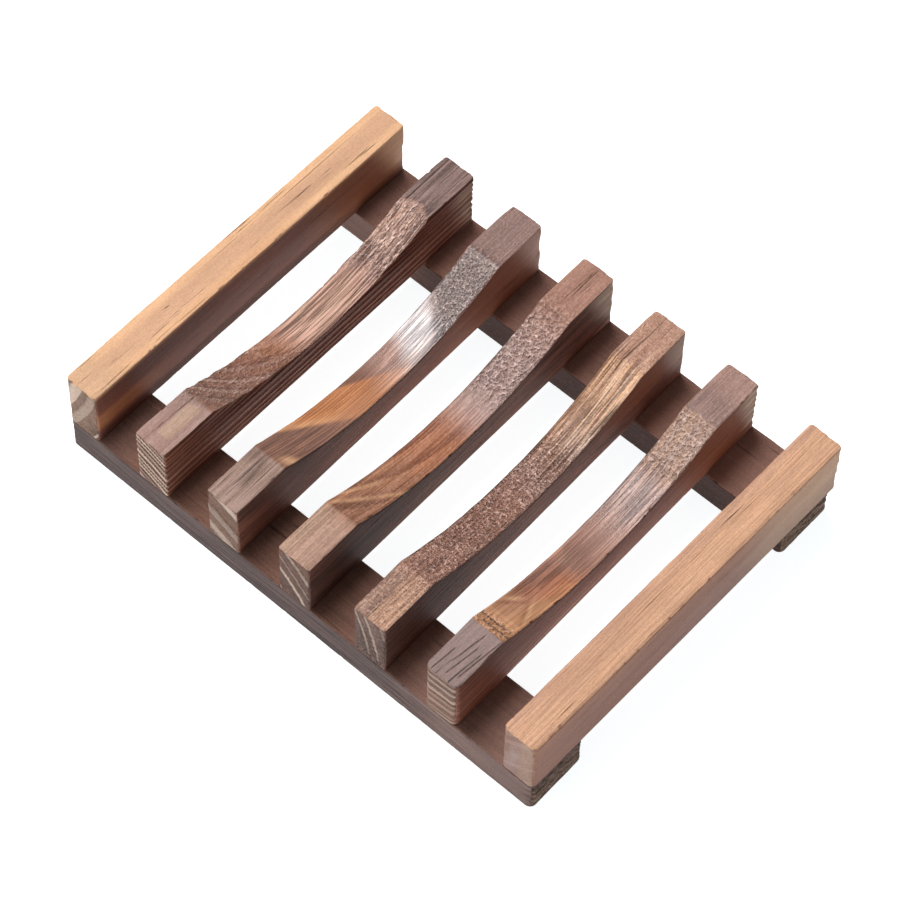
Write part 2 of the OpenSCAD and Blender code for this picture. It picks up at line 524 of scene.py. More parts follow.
def hollow_depth(g, given, eased, grain, outward, is_back):
    """How deep the brushed hollows and the lobes of the back end are at each point."""
    at = add(g, VECTORS, (eased, HOLLOWS), operation="MULTIPLY")
    hollows = {"Vector": at, "W": given["Seed"], "Scale": 1.0, "Detail": 2.0}
    hollows = add(g, NOISE, hollows, noise_dimensions="4D")
    hollows = add(g, RANGES, (hollows, *HOLLOW_LIMITS, 0.0, HOLLOW_DEPTH))
    lobes = add(g, VECTORS, (grain, LOBES), operation="MULTIPLY")
    lobes = add(g, NOISE, {"Vector": lobes, "Scale": 1.0, "Detail": 1.0})
    lobes = add(g, RANGES, (lobes, *LOBE_LIMITS), interpolation_type="SMOOTHSTEP")
    on_end = add(g, RANGES, (outward["Y"], 0.5, 0.9), interpolation_type="SMOOTHSTEP")
    on_back_end = add(g, MATHS, (on_end, is_back), operation="MULTIPLY")
    lobes = add(g, MATHS, (lobes, on_back_end), operation="MULTIPLY")
    return add(g, MATHS, (lobes, given["Back Depth"], hollows), operation="MULTIPLY_ADD")


print("hollows are up to", HOLLOW_DEPTH, "mm deep")

# %% [markdown]
# ### The whole tree
# The depths are added up and each point is moved inwards by their sum, so the batten never grows
# out of its blank. The foot is spared, because it was never brushed. The tree stores what the
# material will need: the ring field, the place in the grain, the direction that the surface faces,
# and how much of each ring shows as a pale line where the wood is brushed. It stores them before it
# moves the points, because a field is worked out anew wherever it is used: after the move, each of
# them would be worked out from the finished shape and not from the blank.

# %% Open and close the batten tree
def open_tree():
    """A new tree with the batten's inputs, and its input sockets."""
    g = bpy.data.node_groups.new("worn_batten", "GeometryNodeTree")
    g.interface.new_socket("Geometry", in_out="OUTPUT", socket_type="NodeSocketGeometry")
    g.interface.new_socket("Geometry", in_out="INPUT", socket_type="NodeSocketGeometry")
    for label, value in BATTEN_INPUTS.items():
        socket = g.interface.new_socket(label, in_out="INPUT", socket_type="NodeSocketFloat")
        socket.default_value = value
    g.interface.new_socket("Material", in_out="INPUT", socket_type="NodeSocketMaterial")
    return g, g.nodes.new("NodeGroupInput").outputs


def close_tree(g, given, position, stored):
    """Stores what the material reads, sets the points, and ends in a mesh with its material."""
    shape = given["Geometry"]
    for label, kind, value in stored:
        values = {"Geometry": shape, "Name": label, "Value": value}
        shape = add(g, "GeometryNodeStoreNamedAttribute", values, data_type=kind)
    position = add(g, VECTORS, {0: position, 3: MM}, operation="SCALE")
    shape = add(g, "GeometryNodeSetPosition", {"Geometry": shape, "Position": position})
    shape = add(g, "GeometryNodeRealizeInstances", {"Geometry": shape})
    shape = add(g, "GeometryNodeSetMaterial", {"Geometry": shape, "Material": given["Material"]})
    g.links.new(shape, g.nodes.new("NodeGroupOutput").inputs[0])


print("with geometry and material, a tree has", len(BATTEN_INPUTS) + 2, "inputs")

# %% Put the batten tree together
SPARED_FOOT = 1.5
FOOT_WEAR = 0.15


def batten_tree():
    """The whole tree, from the blank to the worn batten."""
    g, given = open_tree()
    blank = add(g, VECTORS, {0: add(g, "GeometryNodeInputPosition"), 3: 1 / MM}, operation="SCALE")
    sides = add(g, PARTS, (blank,)).node.outputs
    is_back = add(g, MATHS, (sides["Y"], 0.0), operation="GREATER_THAN")
    cut, top, taken = cut_scoop(g, given, blank)
    eased, outward = ease_edges(g, given, blank, cut, top)
    eased = round_corners(g, given, eased, is_back)
    faces = add(g, PARTS, (outward,)).node.outputs
    rings = grow_rings(g, given, eased)
    grain = grain_place(g, given, eased, sides, taken, faces)
    stretch = add(g, JOIN, (given["Tear Across"], given["Tear Along"], given["Tear Across"]))
    tear = add(g, VECTORS, (grain, stretch), operation="MULTIPLY")
    worn = brushed_depth(g, given, rings, sides, faces, is_back)
    worn = add(g, MATHS, (worn, torn_depth(g, given, tear)))
    worn = add(g, MATHS, (worn, chip_depth(g, given, eased, faces)))
    worn = add(g, MATHS, (worn, hollow_depth(g, given, eased, grain, faces, is_back)))
    spared = add(g, RANGES, (sides["Z"], 0.0, SPARED_FOOT, -FOOT_WEAR, -1.0))
    worn = add(g, MATHS, (worn, spared), operation="MULTIPLY")
    position = add(g, VECTORS, (eased, add(g, VECTORS, {0: outward, 3: worn}, operation="SCALE")))
    numbers = [("ring", "FLOAT", rings), ("line", "FLOAT", given["Line Share"])]
    places = {"grain": grain, "tear": tear, "facing": outward}
    places = [(label, "FLOAT_VECTOR", value) for label, value in places.items()]
    close_tree(g, given, position, numbers + places)
    return g


BATTEN = batten_tree()
print("batten tree:", len(BATTEN.nodes), "nodes")

# %% [markdown]
# ## The blank
# The blank is a closed box of small squares, with its foot at zero height and its length along Y.
# A subdivided cube could be pushed into the same shape, but a lattice lets the squares have a real
# size, so that no detail is stretched. A scooped slat gets finer ones across and along, because
# they have to carry the torn grain, and coarser ones up its sides, to stay light.

# %% Make a blank
PLAIN_SQUARE = np.array([0.27, 0.27, 0.27])
FINE_SQUARE = np.array([0.19, 0.19, 0.3])


def lattice_box(size, square):
    """Each corner of a closed box of squares, as shares of its size, and the box's faces."""
    cells = np.round(np.array(size) / square).astype(int)
    sheets = []
    for axis in range(3):
        first, second = (k for k in range(3) if k != axis)
        i, j = (v.ravel() for v in np.indices((cells[first], cells[second])))
        for level in (0, cells[axis]):
            squares = np.full((i.size, 4, 3), level)
            for corner, (di, dj) in enumerate(((0, 0), (1, 0), (1, 1), (0, 1))):
                squares[:, corner, first] = i + di
                squares[:, corner, second] = j + dj
            outward = (level > 0) != (axis == 1)
            sheets.append(squares if outward else squares[:, ::-1])
    corners = np.concatenate(sheets)
    key = np.ravel_multi_index(corners.reshape(-1, 3).T, cells + 1)
    used, faces = np.unique(key, return_inverse=True)
    shares = np.stack(np.unravel_index(used, cells + 1), axis=1) / cells
    return shares, faces.reshape(-1, 4)


print("a plain slat's blank has", len(lattice_box(SLAT_SIZE, PLAIN_SQUARE)[1]), "squares")

# %% [markdown]
# The brads were driven up from below, and each head sits in a round recess in the foot of the
# rail. In the blank, the points within the recess are lifted to its depth, and the points beside
# its rim are moved onto the circle, so that the wall of the recess is upright and round.

# %% Sink the recesses
WALL_GAP = 0.03
RIM_REACH = 0.8


def sink_recesses(points, centres):
    """Sinks a recess at each centre into the foot of a blank. All lengths are in millimetres."""
    under = points[:, 2] == 0
    step = PLAIN_SQUARE[0]
    for centre in centres:
        offset = points[:, :2] - centre
        distance = np.maximum(np.linalg.norm(offset, axis=1), 0.001)
        floor = under & (distance < RECESS_RADIUS)
        wall = floor & (distance > RECESS_RADIUS - step)
        rim = under & ~floor & (distance < RECESS_RADIUS + RIM_REACH * step)
        for edge, radius in ((wall, RECESS_RADIUS - WALL_GAP), (rim, RECESS_RADIUS)):
            points[edge, :2] = centre + offset[edge] * (radius / distance[edge])[:, None]
        points[floor, 2] = RECESS_DEPTH
    return points


print("each rail gets", len(brad_places(RAILS[0])), "recesses")

# %% [markdown]
# ## Tones
# Scorching, cutting and brushing leave each batten in patches of different tone, and a few patches
# are painted light and shade: the silver glare on polished slopes and part of the dark at the front
# of some sides. Each tone is a pair of colours: the early wood's and the late wood's. The base is
# bare brown fir, as a light scorch leaves it, and the others are painted over it.
#
# There are marks too, which aren't colours: where the grain is torn, where the wood is polished,
# where the rings stand out, where brushing left the late wood pale, where the fibres look silky,
# and where it is finely cracked.

# %% Choose the tones
BASE = ("#936A58", "#634438")
TONES = {
    "russet": ("#935C49", "#62392E"),
    "rust": ("#C8805A", "#8A523C"),
    "warm": ("#CE8C5C", "#9C6140"),
    "tan": ("#E0B28B", "#C6956F"),
    "smoke": ("#9A7F78", "#735C57"),
    "char": ("#4B3430", "#281B18"),
    "blush": ("#C19A8C", "#966C60"),
    # The silver tone is partly a pale grey of the wood and partly a painted glare: the softbox's
    # reflection on polished slopes and its glints on torn grain.
    "silver": ("#E2D9D7", "#A8989A"),
    "oat": ("#BFA188", "#8E715E"),
}
MARKS = ("torn", "gloss", "figured", "brushed", "silky", "cracked")
print(len(TONES), "tones over the base, and", len(MARKS), "marks")

# %% [markdown]
# A patch is a stretch of one face. It runs from its first to its last share of the length, with 0
# at the front end and 1 at the back one, and from -1 to 1 across. Limits beyond those leave it
# without an edge there. It may slant or bend, because a cut that sinks through sloping rings
# uncovers them that way, and its two ends may slant differently. "soft" is how far its ends fade,
# and "hem" how far its long edges do. Patches are painted in order, each over the last, and the
# material makes their edges streaky.

# %% Describe a patch
class Patch(NamedTuple):
    """A stretch of a face that has a tone or a mark."""

    face: str
    tone: str
    first: float = -1
    last: float = 2
    strength: float = 1.0
    across: tuple = (-3, 3)
    slant: float | tuple = 0.0
    bend: float = 0.0
    soft: float = 0.03
    hem: float = 0.2


top, left, right, sides, back, ends, everywhere = (
    partial(Patch, face) for face in ("top", "left", "right", "sides", "back", "ends", "all")
)
print("for example:", top("char", 0.15, 0.3))

# %% [markdown]
# To place a patch, the points of its face are found first, and then how far each one lies within
# the patch's four edges.

# %% Place a patch
def on_face(shares, face):
    """The points that lie on a face of the blank, and their coordinates along and across it."""
    x, y, z = shares.T
    inner = (z > 0) & (z < 1)
    between = inner & (x > 0) & (x < 1)
    wide, high = 2 * x - 1, 2 * z - 1
    faces = {
        "top": (z == 1, y, wide),
        "left": ((x == 0) & inner, y, high),
        "right": ((x == 1) & inner, y, high),
        "sides": (((x == 0) | (x == 1)) & inner, y, high),
        "back": ((y == 1) & between, wide, high),
        "ends": (((y == 0) | (y == 1)) & between, wide, high),
        "all": (z >= 0, y, wide),
    }
    return faces[face]


def ramp(value, edge, soft):
    """Rises smoothly from 0 to 1 as the value passes the edge."""
    rise = np.clip((value - edge + soft) / (2 * soft), 0, 1)
    return rise * rise * (3 - 2 * rise)


def mask(shares, p):
    """How strongly a patch covers each point."""
    here, along, across = on_face(shares, p.face)
    along = along - p.bend * across**2
    slants = np.broadcast_to(p.slant, 2)
    value = ramp(along - slants[0] * across, p.first, p.soft)
    value = value * (1 - ramp(along - slants[1] * across, p.last, p.soft))
    value = value * ramp(across, p.across[0], p.hem) * (1 - ramp(across, p.across[1], p.hem))
    return here * value * p.strength


print("half-way through its fade a patch is at", ramp(0.5, 0.5, 0.1))

# %% [markdown]
# The material mixes the tones in one after another, so each weight is turned into the share of what
# is still left by that turn. Splits, which are the long dark lines where the wood has opened along
# a ring, are stored as a distance in millimetres: a distance stays exact between the points of the
# mesh, so the line can be finer than the mesh.

# %% Paint the patches and draw the splits
FAR_FROM_SPLITS = 9.0
SPLIT_TAPER = 6


def paint(shares, patches):
    """How much of each tone is mixed in, one after another, and how strong each kind of mark is."""
    weights = {tone: np.zeros(len(shares)) for tone in (*TONES, *MARKS)}
    for p in patches:
        value = mask(shares, p)
        for tone in (p.tone,) if p.tone in MARKS else TONES:
            weights[tone] *= 1 - value
        if p.tone != "base":
            weights[p.tone] += value
    later = np.zeros(len(shares))
    for tone in reversed(TONES):
        weight = weights[tone]
        weights[tone] = weight / np.maximum(1 - later, 0.001)
        later = later + weight
    return weights


def split_distance(shares, size, splits):
    """The distance from each point to the nearest split, less half the width of that split."""
    nearest = np.full(len(shares), FAR_FROM_SPLITS)
    for face, along, across, width in splits:
        here, s, c = on_face(shares, face)
        share = np.clip((s - along[0]) / (along[1] - along[0]), 0, 1)
        half = (size[0] if face == "top" else size[2]) / 2
        beside = np.abs(c - across[0] - (across[1] - across[0]) * share) * half
        beyond = np.maximum(np.maximum(along[0] - s, s - along[1]), 0) * size[1]
        away = beside + beyond / SPLIT_TAPER - width / 2
        nearest = np.where(here, np.minimum(nearest, away), nearest)
    return nearest


print("a point far from every split stores", FAR_FROM_SPLITS, "mm")

# %% [markdown]
# ## Making a batten
# A batten is a blank with its patches stored on it, shaped by the tree and turned into its place.
# The result of the tree is copied to a plain mesh, so that no modifier is left on the piece. The
# weights of the tones travel three at a time, as vectors, to keep the number of attributes low.

# %% Make a batten
ROOT = next(iter(frame["bodies"]))
TONE_SETS = [list(TONES)[k : k + 3] for k in range(0, len(TONES), 3)]


def store(mesh, label, values):
    """Stores numbers, or vectors, on the points of a mesh."""
    kind = "FLOAT" if values.ndim == 1 else "FLOAT_VECTOR"
    stored = mesh.attributes.new(label, kind, "POINT")
    stored.data.foreach_set("value" if values.ndim == 1 else "vector", values.ravel())


def painted_blank(name, size, square, patches, splits, recesses):
    """The blank as an object, with its tones, marks and splits stored on its points."""
    shares, faces = lattice_box(size, square)
    points = sink_recesses((shares - (0.5, 0.5, 0)) * size, recesses)
    mesh = bpy.data.meshes.new(name + "_blank")
    mesh.from_pydata(points * MM, [], faces.tolist())
    weights = paint(shares, patches)
    for k, tones in enumerate(TONE_SETS):
        store(mesh, f"tones_{k}", np.stack([weights[tone] for tone in tones], axis=1))
    for label in MARKS:
        store(mesh, label, weights[label])
    store(mesh, "split", split_distance(shares, size, splits))
    blank = bpy.data.objects.new(name + "_blank", mesh)
    bpy.context.scene.collection.objects.link(blank)
    return blank


def make_batten(name, size, square, place, material, patches, splits=(), recesses=(), **inputs):
    """A worn batten as a plain mesh, in its place."""
    blank = painted_blank(name, size, square, patches, splits, recesses)
    modifier = blank.modifiers.new("shape", "NODES")
    modifier.node_group = BATTEN
    values = {"Width": size[0], "Length": size[1], "Height": size[2], **inputs}
    values["Material"] = material
    for socket in BATTEN.interface.items_tree:
        if socket.in_out == "INPUT" and socket.name in values:
            modifier[socket.identifier] = values[socket.name]
    graph = bpy.context.evaluated_depsgraph_get()
    shaped = bpy.data.meshes.new_from_object(
        blank.evaluated_get(graph), preserve_all_data_layers=True, depsgraph=graph
    )
    bpy.data.objects.remove(blank)
    shaped.transform(place)
    shaped.polygons.foreach_set("use_smooth", np.ones(len(shaped.polygons), bool))
    shaped.name = name
    batten = bpy.data.objects.new(name, shaped)
    bpy.context.scene.collection.objects.link(batten)
    print(name, "has", len(shaped.vertices), "points")
    return batten


# %% [markdown]
# ## The wood
# Softwood such as fir has wide pale early wood and narrow dark late wood. Scorched and brushed, it
# goes from tan through orange-brown to soot, and the raised late wood catches the light. The next
# cells build the parts of the material, one function for each thing that the eye can tell apart.
# A photograph of wood would be quicker, but it could not follow the ridges of each batten.
#
# The first is the fibres: streaks about 0.8 mm wide and 20 mm long, fine threads of 0.3 mm between
# them, short flecks of about 0.4 mm, and slow clouds of depth. They are noises that are stretched
# along the grain, and each is given as how many of it there are to a millimetre on each axis. A
# real fibre is only about 0.03 mm wide, too fine to show, so a thread stands for a bundle of them.

# %% Make the fibres
STREAKS = (1.3, 0.045, 1.3)
THREADS = (3.1, 0.09, 3.1)
FLECKS = (4.6, 2.2, 4.6)
CLOUDS = (0.22, 0.05, 0.22)
FIBRE_SPREADS = {STREAKS: 0.16, THREADS: 0.11, FLECKS: 0.16}


def fibres(t, grain):
    """Streaks, threads and flecks, each from -0.5 to 0.5, and clouds from 0 to 1."""
    made = []
    for stretch, spread in FIBRE_SPREADS.items():
        value = add(t, VECTORS, (grain, stretch), operation="MULTIPLY")
        value = add(t, NOISE, {"Vector": value, "Scale": 1.0, "Detail": 1.0})
        made.append(add(t, RANGES, (value, 0.5 - spread, 0.5 + spread, -0.5, 0.5)))
    clouds = add(t, VECTORS, (grain, CLOUDS), operation="MULTIPLY")
    clouds = add(t, NOISE, {"Vector": clouds, "Scale": 1.0, "Detail": 3.0, "Roughness": 0.6})
    return *made, clouds


print("streaks in mm:", round(1 / STREAKS[0], 2), "wide and", round(1 / STREAKS[1]), "long")

# %% [markdown]
# The ring field says where the late wood is. Its fraction is taken in the material and not stored,
# because a fraction jumps from 1 to 0 and would blur between the points of the mesh. The crest of
# each ring is the part that brushing rubs pale, and it is what draws the lines on the sawn ends.

# %% Find the late wood
LATE_SWELL = (0.2, 0.85)
LATE_FALL = (0.94, 1.0)
CREST_END = 0.9
CREST_FADE = 0.2
WEAKEST_CREST = 0.45


def late_wood(t, rings, line, streaks):
    """How much of a point is late wood, and how much of it is the pale crest of a ring."""
    rings = add(t, MATHS, (streaks, 0.03, rings), operation="MULTIPLY_ADD")
    within = add(t, MATHS, (rings,), operation="FRACT")
    swell = add(t, RANGES, (within, *LATE_SWELL), interpolation_type="SMOOTHSTEP")
    fall = add(t, RANGES, (within, *LATE_FALL, 1.0, 0.0), interpolation_type="SMOOTHSTEP")
    late = add(t, MATHS, (swell, fall), operation="MULTIPLY")
    start = add(t, MATHS, (CREST_END, line), operation="SUBTRACT")
    full = add(t, MATHS, (start, CREST_FADE))
    crest = add(t, RANGES, (within, start, full), interpolation_type="SMOOTHSTEP")
    crest = add(t, MATHS, (crest, ring_strength(t, rings, WEAKEST_CREST)), operation="MULTIPLY")
    return late, add(t, MATHS, (crest, fall), operation="MULTIPLY")


print("a ring's crest ends at", CREST_END, "of its width")

# %% [markdown]
# Each tone is mixed in by its weight. Half-way between two tones the fibres decide, streak by
# streak, which one shows, as scorch marks really do: they creep along the open fibres.

# %% Mix the tones
FIBRE_SAY = 2.5


def mix_tones(t, figure, fibre, fibre_contrast):
    """The colour of the wood from its tones, early or late by the figure."""
    weights = []
    for k in range(len(TONE_SETS)):
        stored = add(t, STORED, out="Vector", attribute_name=f"tones_{k}")
        weights += list(add(t, PARTS, (stored,)).node.outputs)
    early, late = (linear(code) for code in BASE)
    lean = add(t, MATHS, (fibre[0], fibre[1]))
    lean = add(t, MATHS, (fibre[2], 0.5, lean), operation="MULTIPLY_ADD")
    lean = add(t, MATHS, (lean, FIBRE_SAY * fibre_contrast), operation="MULTIPLY")
    for codes, weight in zip(TONES.values(), weights):
        rest = add(t, MATHS, (1.0, weight), operation="SUBTRACT")
        doubt = add(t, MATHS, (weight, rest), operation="MULTIPLY")
        share = add(t, MATHS, (doubt, lean, weight), operation="MULTIPLY_ADD", use_clamp=True)
        early = add(t, MIX, {0: share, 6: early, 7: linear(codes[0])}, out=2, data_type="RGBA")
        late = add(t, MIX, {0: share, 6: late, 7: linear(codes[1])}, out=2, data_type="RGBA")
    return add(t, MIX, {0: figure, 6: early, 7: late}, out=2, data_type="RGBA")


print("mixing", len(TONES), "tones takes", 2 * len(TONES) + 1, "mix nodes")

# %% [markdown]
# Two kinds of dark line run along the grain: fine cracks, which a stretched noise scatters where
# the wood is marked as cracked, and the drawn splits. The rails also carry the marks of a wire
# brush, which crosses the grain in two directions.

# %% Find the cracks and the brush marks
CRACKS = (1.9, 0.05, 1.9)
CRACK_LIMITS = (0.68, 0.72)
CRACK_DARKNESS = 0.8
SPLIT_FADE = (-0.12, 0.1)
BRUSHINGS = ((0.5, (2.2, 0.1, 2.2)), (-0.7, (2.6, 0.12, 2.6)))
BRUSH_LIMITS = (0.54, 0.66)


def cracks_and_splits(t, grain, cracked, streaks):
    """How dark a crack or a split is at each point, from 0 to 1."""
    cracks = add(t, VECTORS, (grain, CRACKS), operation="MULTIPLY")
    cracks = add(t, NOISE, {"Vector": cracks, "Scale": 1.0, "Detail": 3.0, "Roughness": 0.55})
    cracks = add(t, MATHS, (cracked, 0.11, cracks), operation="MULTIPLY_ADD")
    cracks = add(t, RANGES, (cracks, *CRACK_LIMITS, 0.0, CRACK_DARKNESS))
    split = add(t, STORED, out="Fac", attribute_name="split")
    split = add(t, MATHS, (streaks, 0.08, split), operation="MULTIPLY_ADD")
    split = add(t, RANGES, (split, *SPLIT_FADE, 1.0, 0.0), interpolation_type="SMOOTHSTEP")
    return add(t, MATHS, (cracks, split), operation="MAXIMUM")


def brush_marks(t, grain):
    """Thin scratches in two crossing directions, from 0 to 1."""
    marks = 0.0
    for turn, stretch in BRUSHINGS:
        turned = {"Vector": grain, "Angle": turn}
        turned = add(t, "ShaderNodeVectorRotate", turned, rotation_type="Z_AXIS")
        one_way = add(t, VECTORS, (turned, stretch), operation="MULTIPLY")
        one_way = add(t, NOISE, {"Vector": one_way, "Scale": 1.0, "Detail": 2.0, "Roughness": 0.6})
        one_way = add(t, RANGES, (one_way, *BRUSH_LIMITS))
        marks = add(t, MATHS, (marks, one_way), operation="MAXIMUM")
    return marks


crossing = math.degrees(BRUSHINGS[0][0] - BRUSHINGS[1][0])
print("the brush marks cross at", round(crossing), "degrees")

# %% [markdown]
# Where a point stands between its early and its late colour follows from its ring, from the fibres
# and, where the grain is torn, from the pits. How bright it is follows from the clouds, from
# painted light and shade of torn grain, lit on the bumps and shaded in the pits, from the grooves
# beside pale crests, and from a painted sheen of silky fibres, which lie at slightly different
# angles and so catch the light one by one.

# %% Find the early and the late colour
PLAIN_RING_SHARE = 0.2
SILKY_GAIN = 2.1
FLECK_SAY = 0.16
PIT_SAY = (-0.05, 0.12)
EARLY_START = 0.25


def edge_and_end(t):
    """How much a point lies on an edge, and how much on an end, from the way that it faces."""
    facing = add(t, STORED, out="Vector", attribute_name="facing")
    facing = add(t, VECTORS, (facing,), operation="ABSOLUTE")
    facing = add(t, PARTS, (facing,)).node.outputs
    widest = add(t, MATHS, (facing["Y"], facing["Z"]), operation="MAXIMUM")
    widest = add(t, MATHS, (facing["X"], widest), operation="MAXIMUM")
    return add(t, RANGES, (widest, 0.97, 0.8)), add(t, RANGES, (facing["Y"], 0.5, 0.8))


def wood_figure(t, late, fibre, marks, pits, ring_contrast, fibre_contrast):
    """Where a point stands between its early and its late colour, from 0 to 1."""
    streaks, threads, flecks = fibre
    plain_contrast = PLAIN_RING_SHARE * ring_contrast
    contrast = add(t, RANGES, (marks["figured"], 0.0, 1.0, plain_contrast, ring_contrast))
    silky_contrast = SILKY_GAIN * fibre_contrast
    fibrous = add(t, RANGES, (marks["silky"], 0.0, 1.0, fibre_contrast, silky_contrast))
    both = add(t, MATHS, (streaks, 0.35, threads), operation="MULTIPLY_ADD")
    both = add(t, MATHS, (both, fibrous), operation="MULTIPLY")
    figure = add(t, MATHS, (late, contrast, both), operation="MULTIPLY_ADD")
    figure = add(t, MATHS, (flecks, FLECK_SAY, figure), operation="MULTIPLY_ADD")
    pitted = add(t, RANGES, (pits, 0.0, 1.0, *PIT_SAY))
    pitted = add(t, MATHS, (pitted, marks["torn"]), operation="MULTIPLY")
    figure = add(t, MATHS, (figure, pitted))
    return add(t, MATHS, (figure, EARLY_START), use_clamp=True)


print("silky fibres show", SILKY_GAIN, "times as much as others")

# %% Shade the wood
CLOUD_SHADES = (0.92, 1.08)
PAINTED_BUMP_LIGHT = 0.32
PAINTED_PIT_SHADE = -0.34
SHEEN = -0.65
DARK_GROOVE = -0.3
DARK_FLECK = -0.1


def brightness(t, cloud, fibre, marks, pits, crest):
    """What the colour is multiplied by, with the painted light and shade of torn grain and silky
    sheen.
    """
    streaks, threads, flecks = fibre
    shade = add(t, RANGES, (cloud, 0.3, 0.7, *CLOUD_SHADES))
    # Painted light and shade of torn grain: the bumps are made lighter and the pits darker in the
    # colour, because the softbox is almost overhead and the relief alone shows little.
    torn = add(t, RANGES, (pits, 0.0, 1.0, PAINTED_BUMP_LIGHT, PAINTED_PIT_SHADE))
    # A painted sheen: silky threads and streaks are made lighter and darker in the colour.
    sheen = add(t, MATHS, (streaks, 0.3, threads), operation="MULTIPLY_ADD")
    sheen = add(t, MATHS, (sheen, SHEEN), operation="MULTIPLY")
    groove = add(t, RANGES, (crest, 0.0, 1.0, DARK_GROOVE, 0.0))
    for mark, amount in (("torn", torn), ("silky", sheen), ("brushed", groove)):
        factor = add(t, MATHS, (marks[mark], amount, 1.0), operation="MULTIPLY_ADD")
        shade = add(t, MATHS, (shade, factor), operation="MULTIPLY")
    grainy = add(t, MATHS, (flecks, DARK_FLECK, 1.0), operation="MULTIPLY_ADD")
    return add(t, MATHS, (shade, grainy), operation="MULTIPLY")


print("torn grain goes from", 1 + PAINTED_BUMP_LIGHT, "to", round(1 + PAINTED_PIT_SHADE, 2), "times as bright")

# %% [markdown]
# The relief is given in millimetres: threads of a few hundredths, which stand up more where the
# wood is silky, cracks of about a tenth and torn pits of about a third. It sharpens what the mesh
# is a little too coarse for.

# %% Give the wood its relief
THREAD_HEIGHT = 0.03
SILKY_THREAD_HEIGHT = 0.1
FLECK_DEPTH = 0.02
CRACK_DEPTH = 0.12
RING_HEIGHT = 0.06
PIT_DEPTH = 0.36
SCRATCH_DEPTH = 0.03


def wood_relief(t, late, fibre, marks, pits, cracks):
    """The height of the finest relief, in millimetres."""
    threads, flecks = fibre[1:]
    height = add(t, RANGES, (marks["silky"], 0.0, 1.0, THREAD_HEIGHT, SILKY_THREAD_HEIGHT))
    relief = add(t, MATHS, (threads, height), operation="MULTIPLY")
    relief = add(t, MATHS, (flecks, -FLECK_DEPTH, relief), operation="MULTIPLY_ADD")
    relief = add(t, MATHS, (cracks, -CRACK_DEPTH, relief), operation="MULTIPLY_ADD")
    raised = add(t, MATHS, (late, marks["figured"]), operation="MULTIPLY")
    relief = add(t, MATHS, (raised, RING_HEIGHT, relief), operation="MULTIPLY_ADD")
    sunk = add(t, MATHS, (pits, marks["torn"]), operation="MULTIPLY")
    return add(t, MATHS, (sunk, -PIT_DEPTH, relief), operation="MULTIPLY_ADD")


print("the deepest fine relief is", PIT_DEPTH, "mm")

# %% [markdown]
# The colour adds these up. The edges are paler in places, partly where hands and the brush have
# rubbed and partly as a painted highlight along the rims. The bumps of torn grain get a painted
# highlight of pale mauve, where their broken fibres catch the light. A crack only darkens the wood
# that it runs through, so it is brown in tan wood and black in charred wood.

# %% Colour the wood
PALE_CREST = linear("#DCC4B2")
RUBBED_EDGE_AND_HIGHLIGHT = linear("#CFA482")
TORN_BUMP_HIGHLIGHT = linear("#CBB4AC")
TORN_BUMP_HIGHLIGHT_SHARE = 0.4
CREST_GAIN = 2.0
DRY_CREST = (0.25, 0.9)
CRACK_SHADE = 0.3


def wood_colour(t, parts, marks, ring_contrast, fibre_contrast, rub_and_highlight):
    """The colour of the wood, and the height of its relief."""
    *fibre, cloud = fibres(t, parts["grain"])
    late, crest = late_wood(t, parts["ring"], parts["line"], fibre[0])
    pits = torn_pits(t, parts["tear"], FINE_SHARE_COLOUR)
    on_edge, on_end = edge_and_end(t)
    figure = wood_figure(t, late, fibre, marks, pits, ring_contrast, fibre_contrast)
    shade = brightness(t, cloud, fibre, marks, pits, crest)
    cracks = cracks_and_splits(t, parts["grain"], marks["cracked"], fibre[0])

    colour = mix_tones(t, figure, fibre, fibre_contrast)
    # Paler rims along the edges: partly rubbed wood and partly a painted highlight.
    rubbed_and_highlighted = add(t, RANGES, (fibre[0], -0.25, 0.4, 0.0, rub_and_highlight))
    rubbed_and_highlighted = add(t, MATHS, (on_edge, rubbed_and_highlighted), operation="MULTIPLY")
    colour = add(t, MIX, {0: rubbed_and_highlighted, 6: colour, 7: RUBBED_EDGE_AND_HIGHLIGHT}, out=2, data_type="RGBA")
    # A painted highlight: the bumps of torn grain are mixed towards pale mauve.
    raised = add(t, RANGES, (pits, 0.0, 0.5, TORN_BUMP_HIGHLIGHT_SHARE, 0.0))
    raised = add(t, MATHS, (raised, marks["torn"]), operation="MULTIPLY")
    colour = add(t, MIX, {0: raised, 6: colour, 7: TORN_BUMP_HIGHLIGHT}, out=2, data_type="RGBA")
    dry = add(t, RANGES, (on_end, 0.0, 1.0, *DRY_CREST))
    lit = add(t, VECTORS, {0: colour, 3: CREST_GAIN}, operation="SCALE")
    lit = add(t, MIX, {0: dry, 6: lit, 7: PALE_CREST}, out=2, data_type="RGBA")
    pale = add(t, MATHS, (crest, marks["brushed"]), operation="MULTIPLY")
    colour = add(t, MIX, {0: pale, 6: colour, 7: lit}, out=2, data_type="RGBA")
    crack_shade = add(t, RANGES, (cracks, 0.0, 1.0, 1.0, CRACK_SHADE))
    shade = add(t, MATHS, (shade, crack_shade), operation="MULTIPLY")
    colour = add(t, VECTORS, {0: colour, 3: shade}, operation="SCALE")
    return colour, wood_relief(t, late, fibre, marks, pits, cracks)


print("a crack keeps", CRACK_SHADE, "of the wood's brightness")

# %% [markdown]
# Every number that changes over the wood is read from the attributes that the tree stored. Fir is
# matt, and where it was polished by the cutter it shines a little. The three materials differ in
# how much their rings and fibres show, in how pale their edges are, which is partly rubbing and
# partly a painted rim highlight, and in the brush marks that only the rails have.

# %% Build the wood materials
BRUSHED = linear("#7F675E")
MATT = 0.62
POLISHED = 0.34
TORN_EXTRA = 0.08
POLISHED_SHINE = 0.45


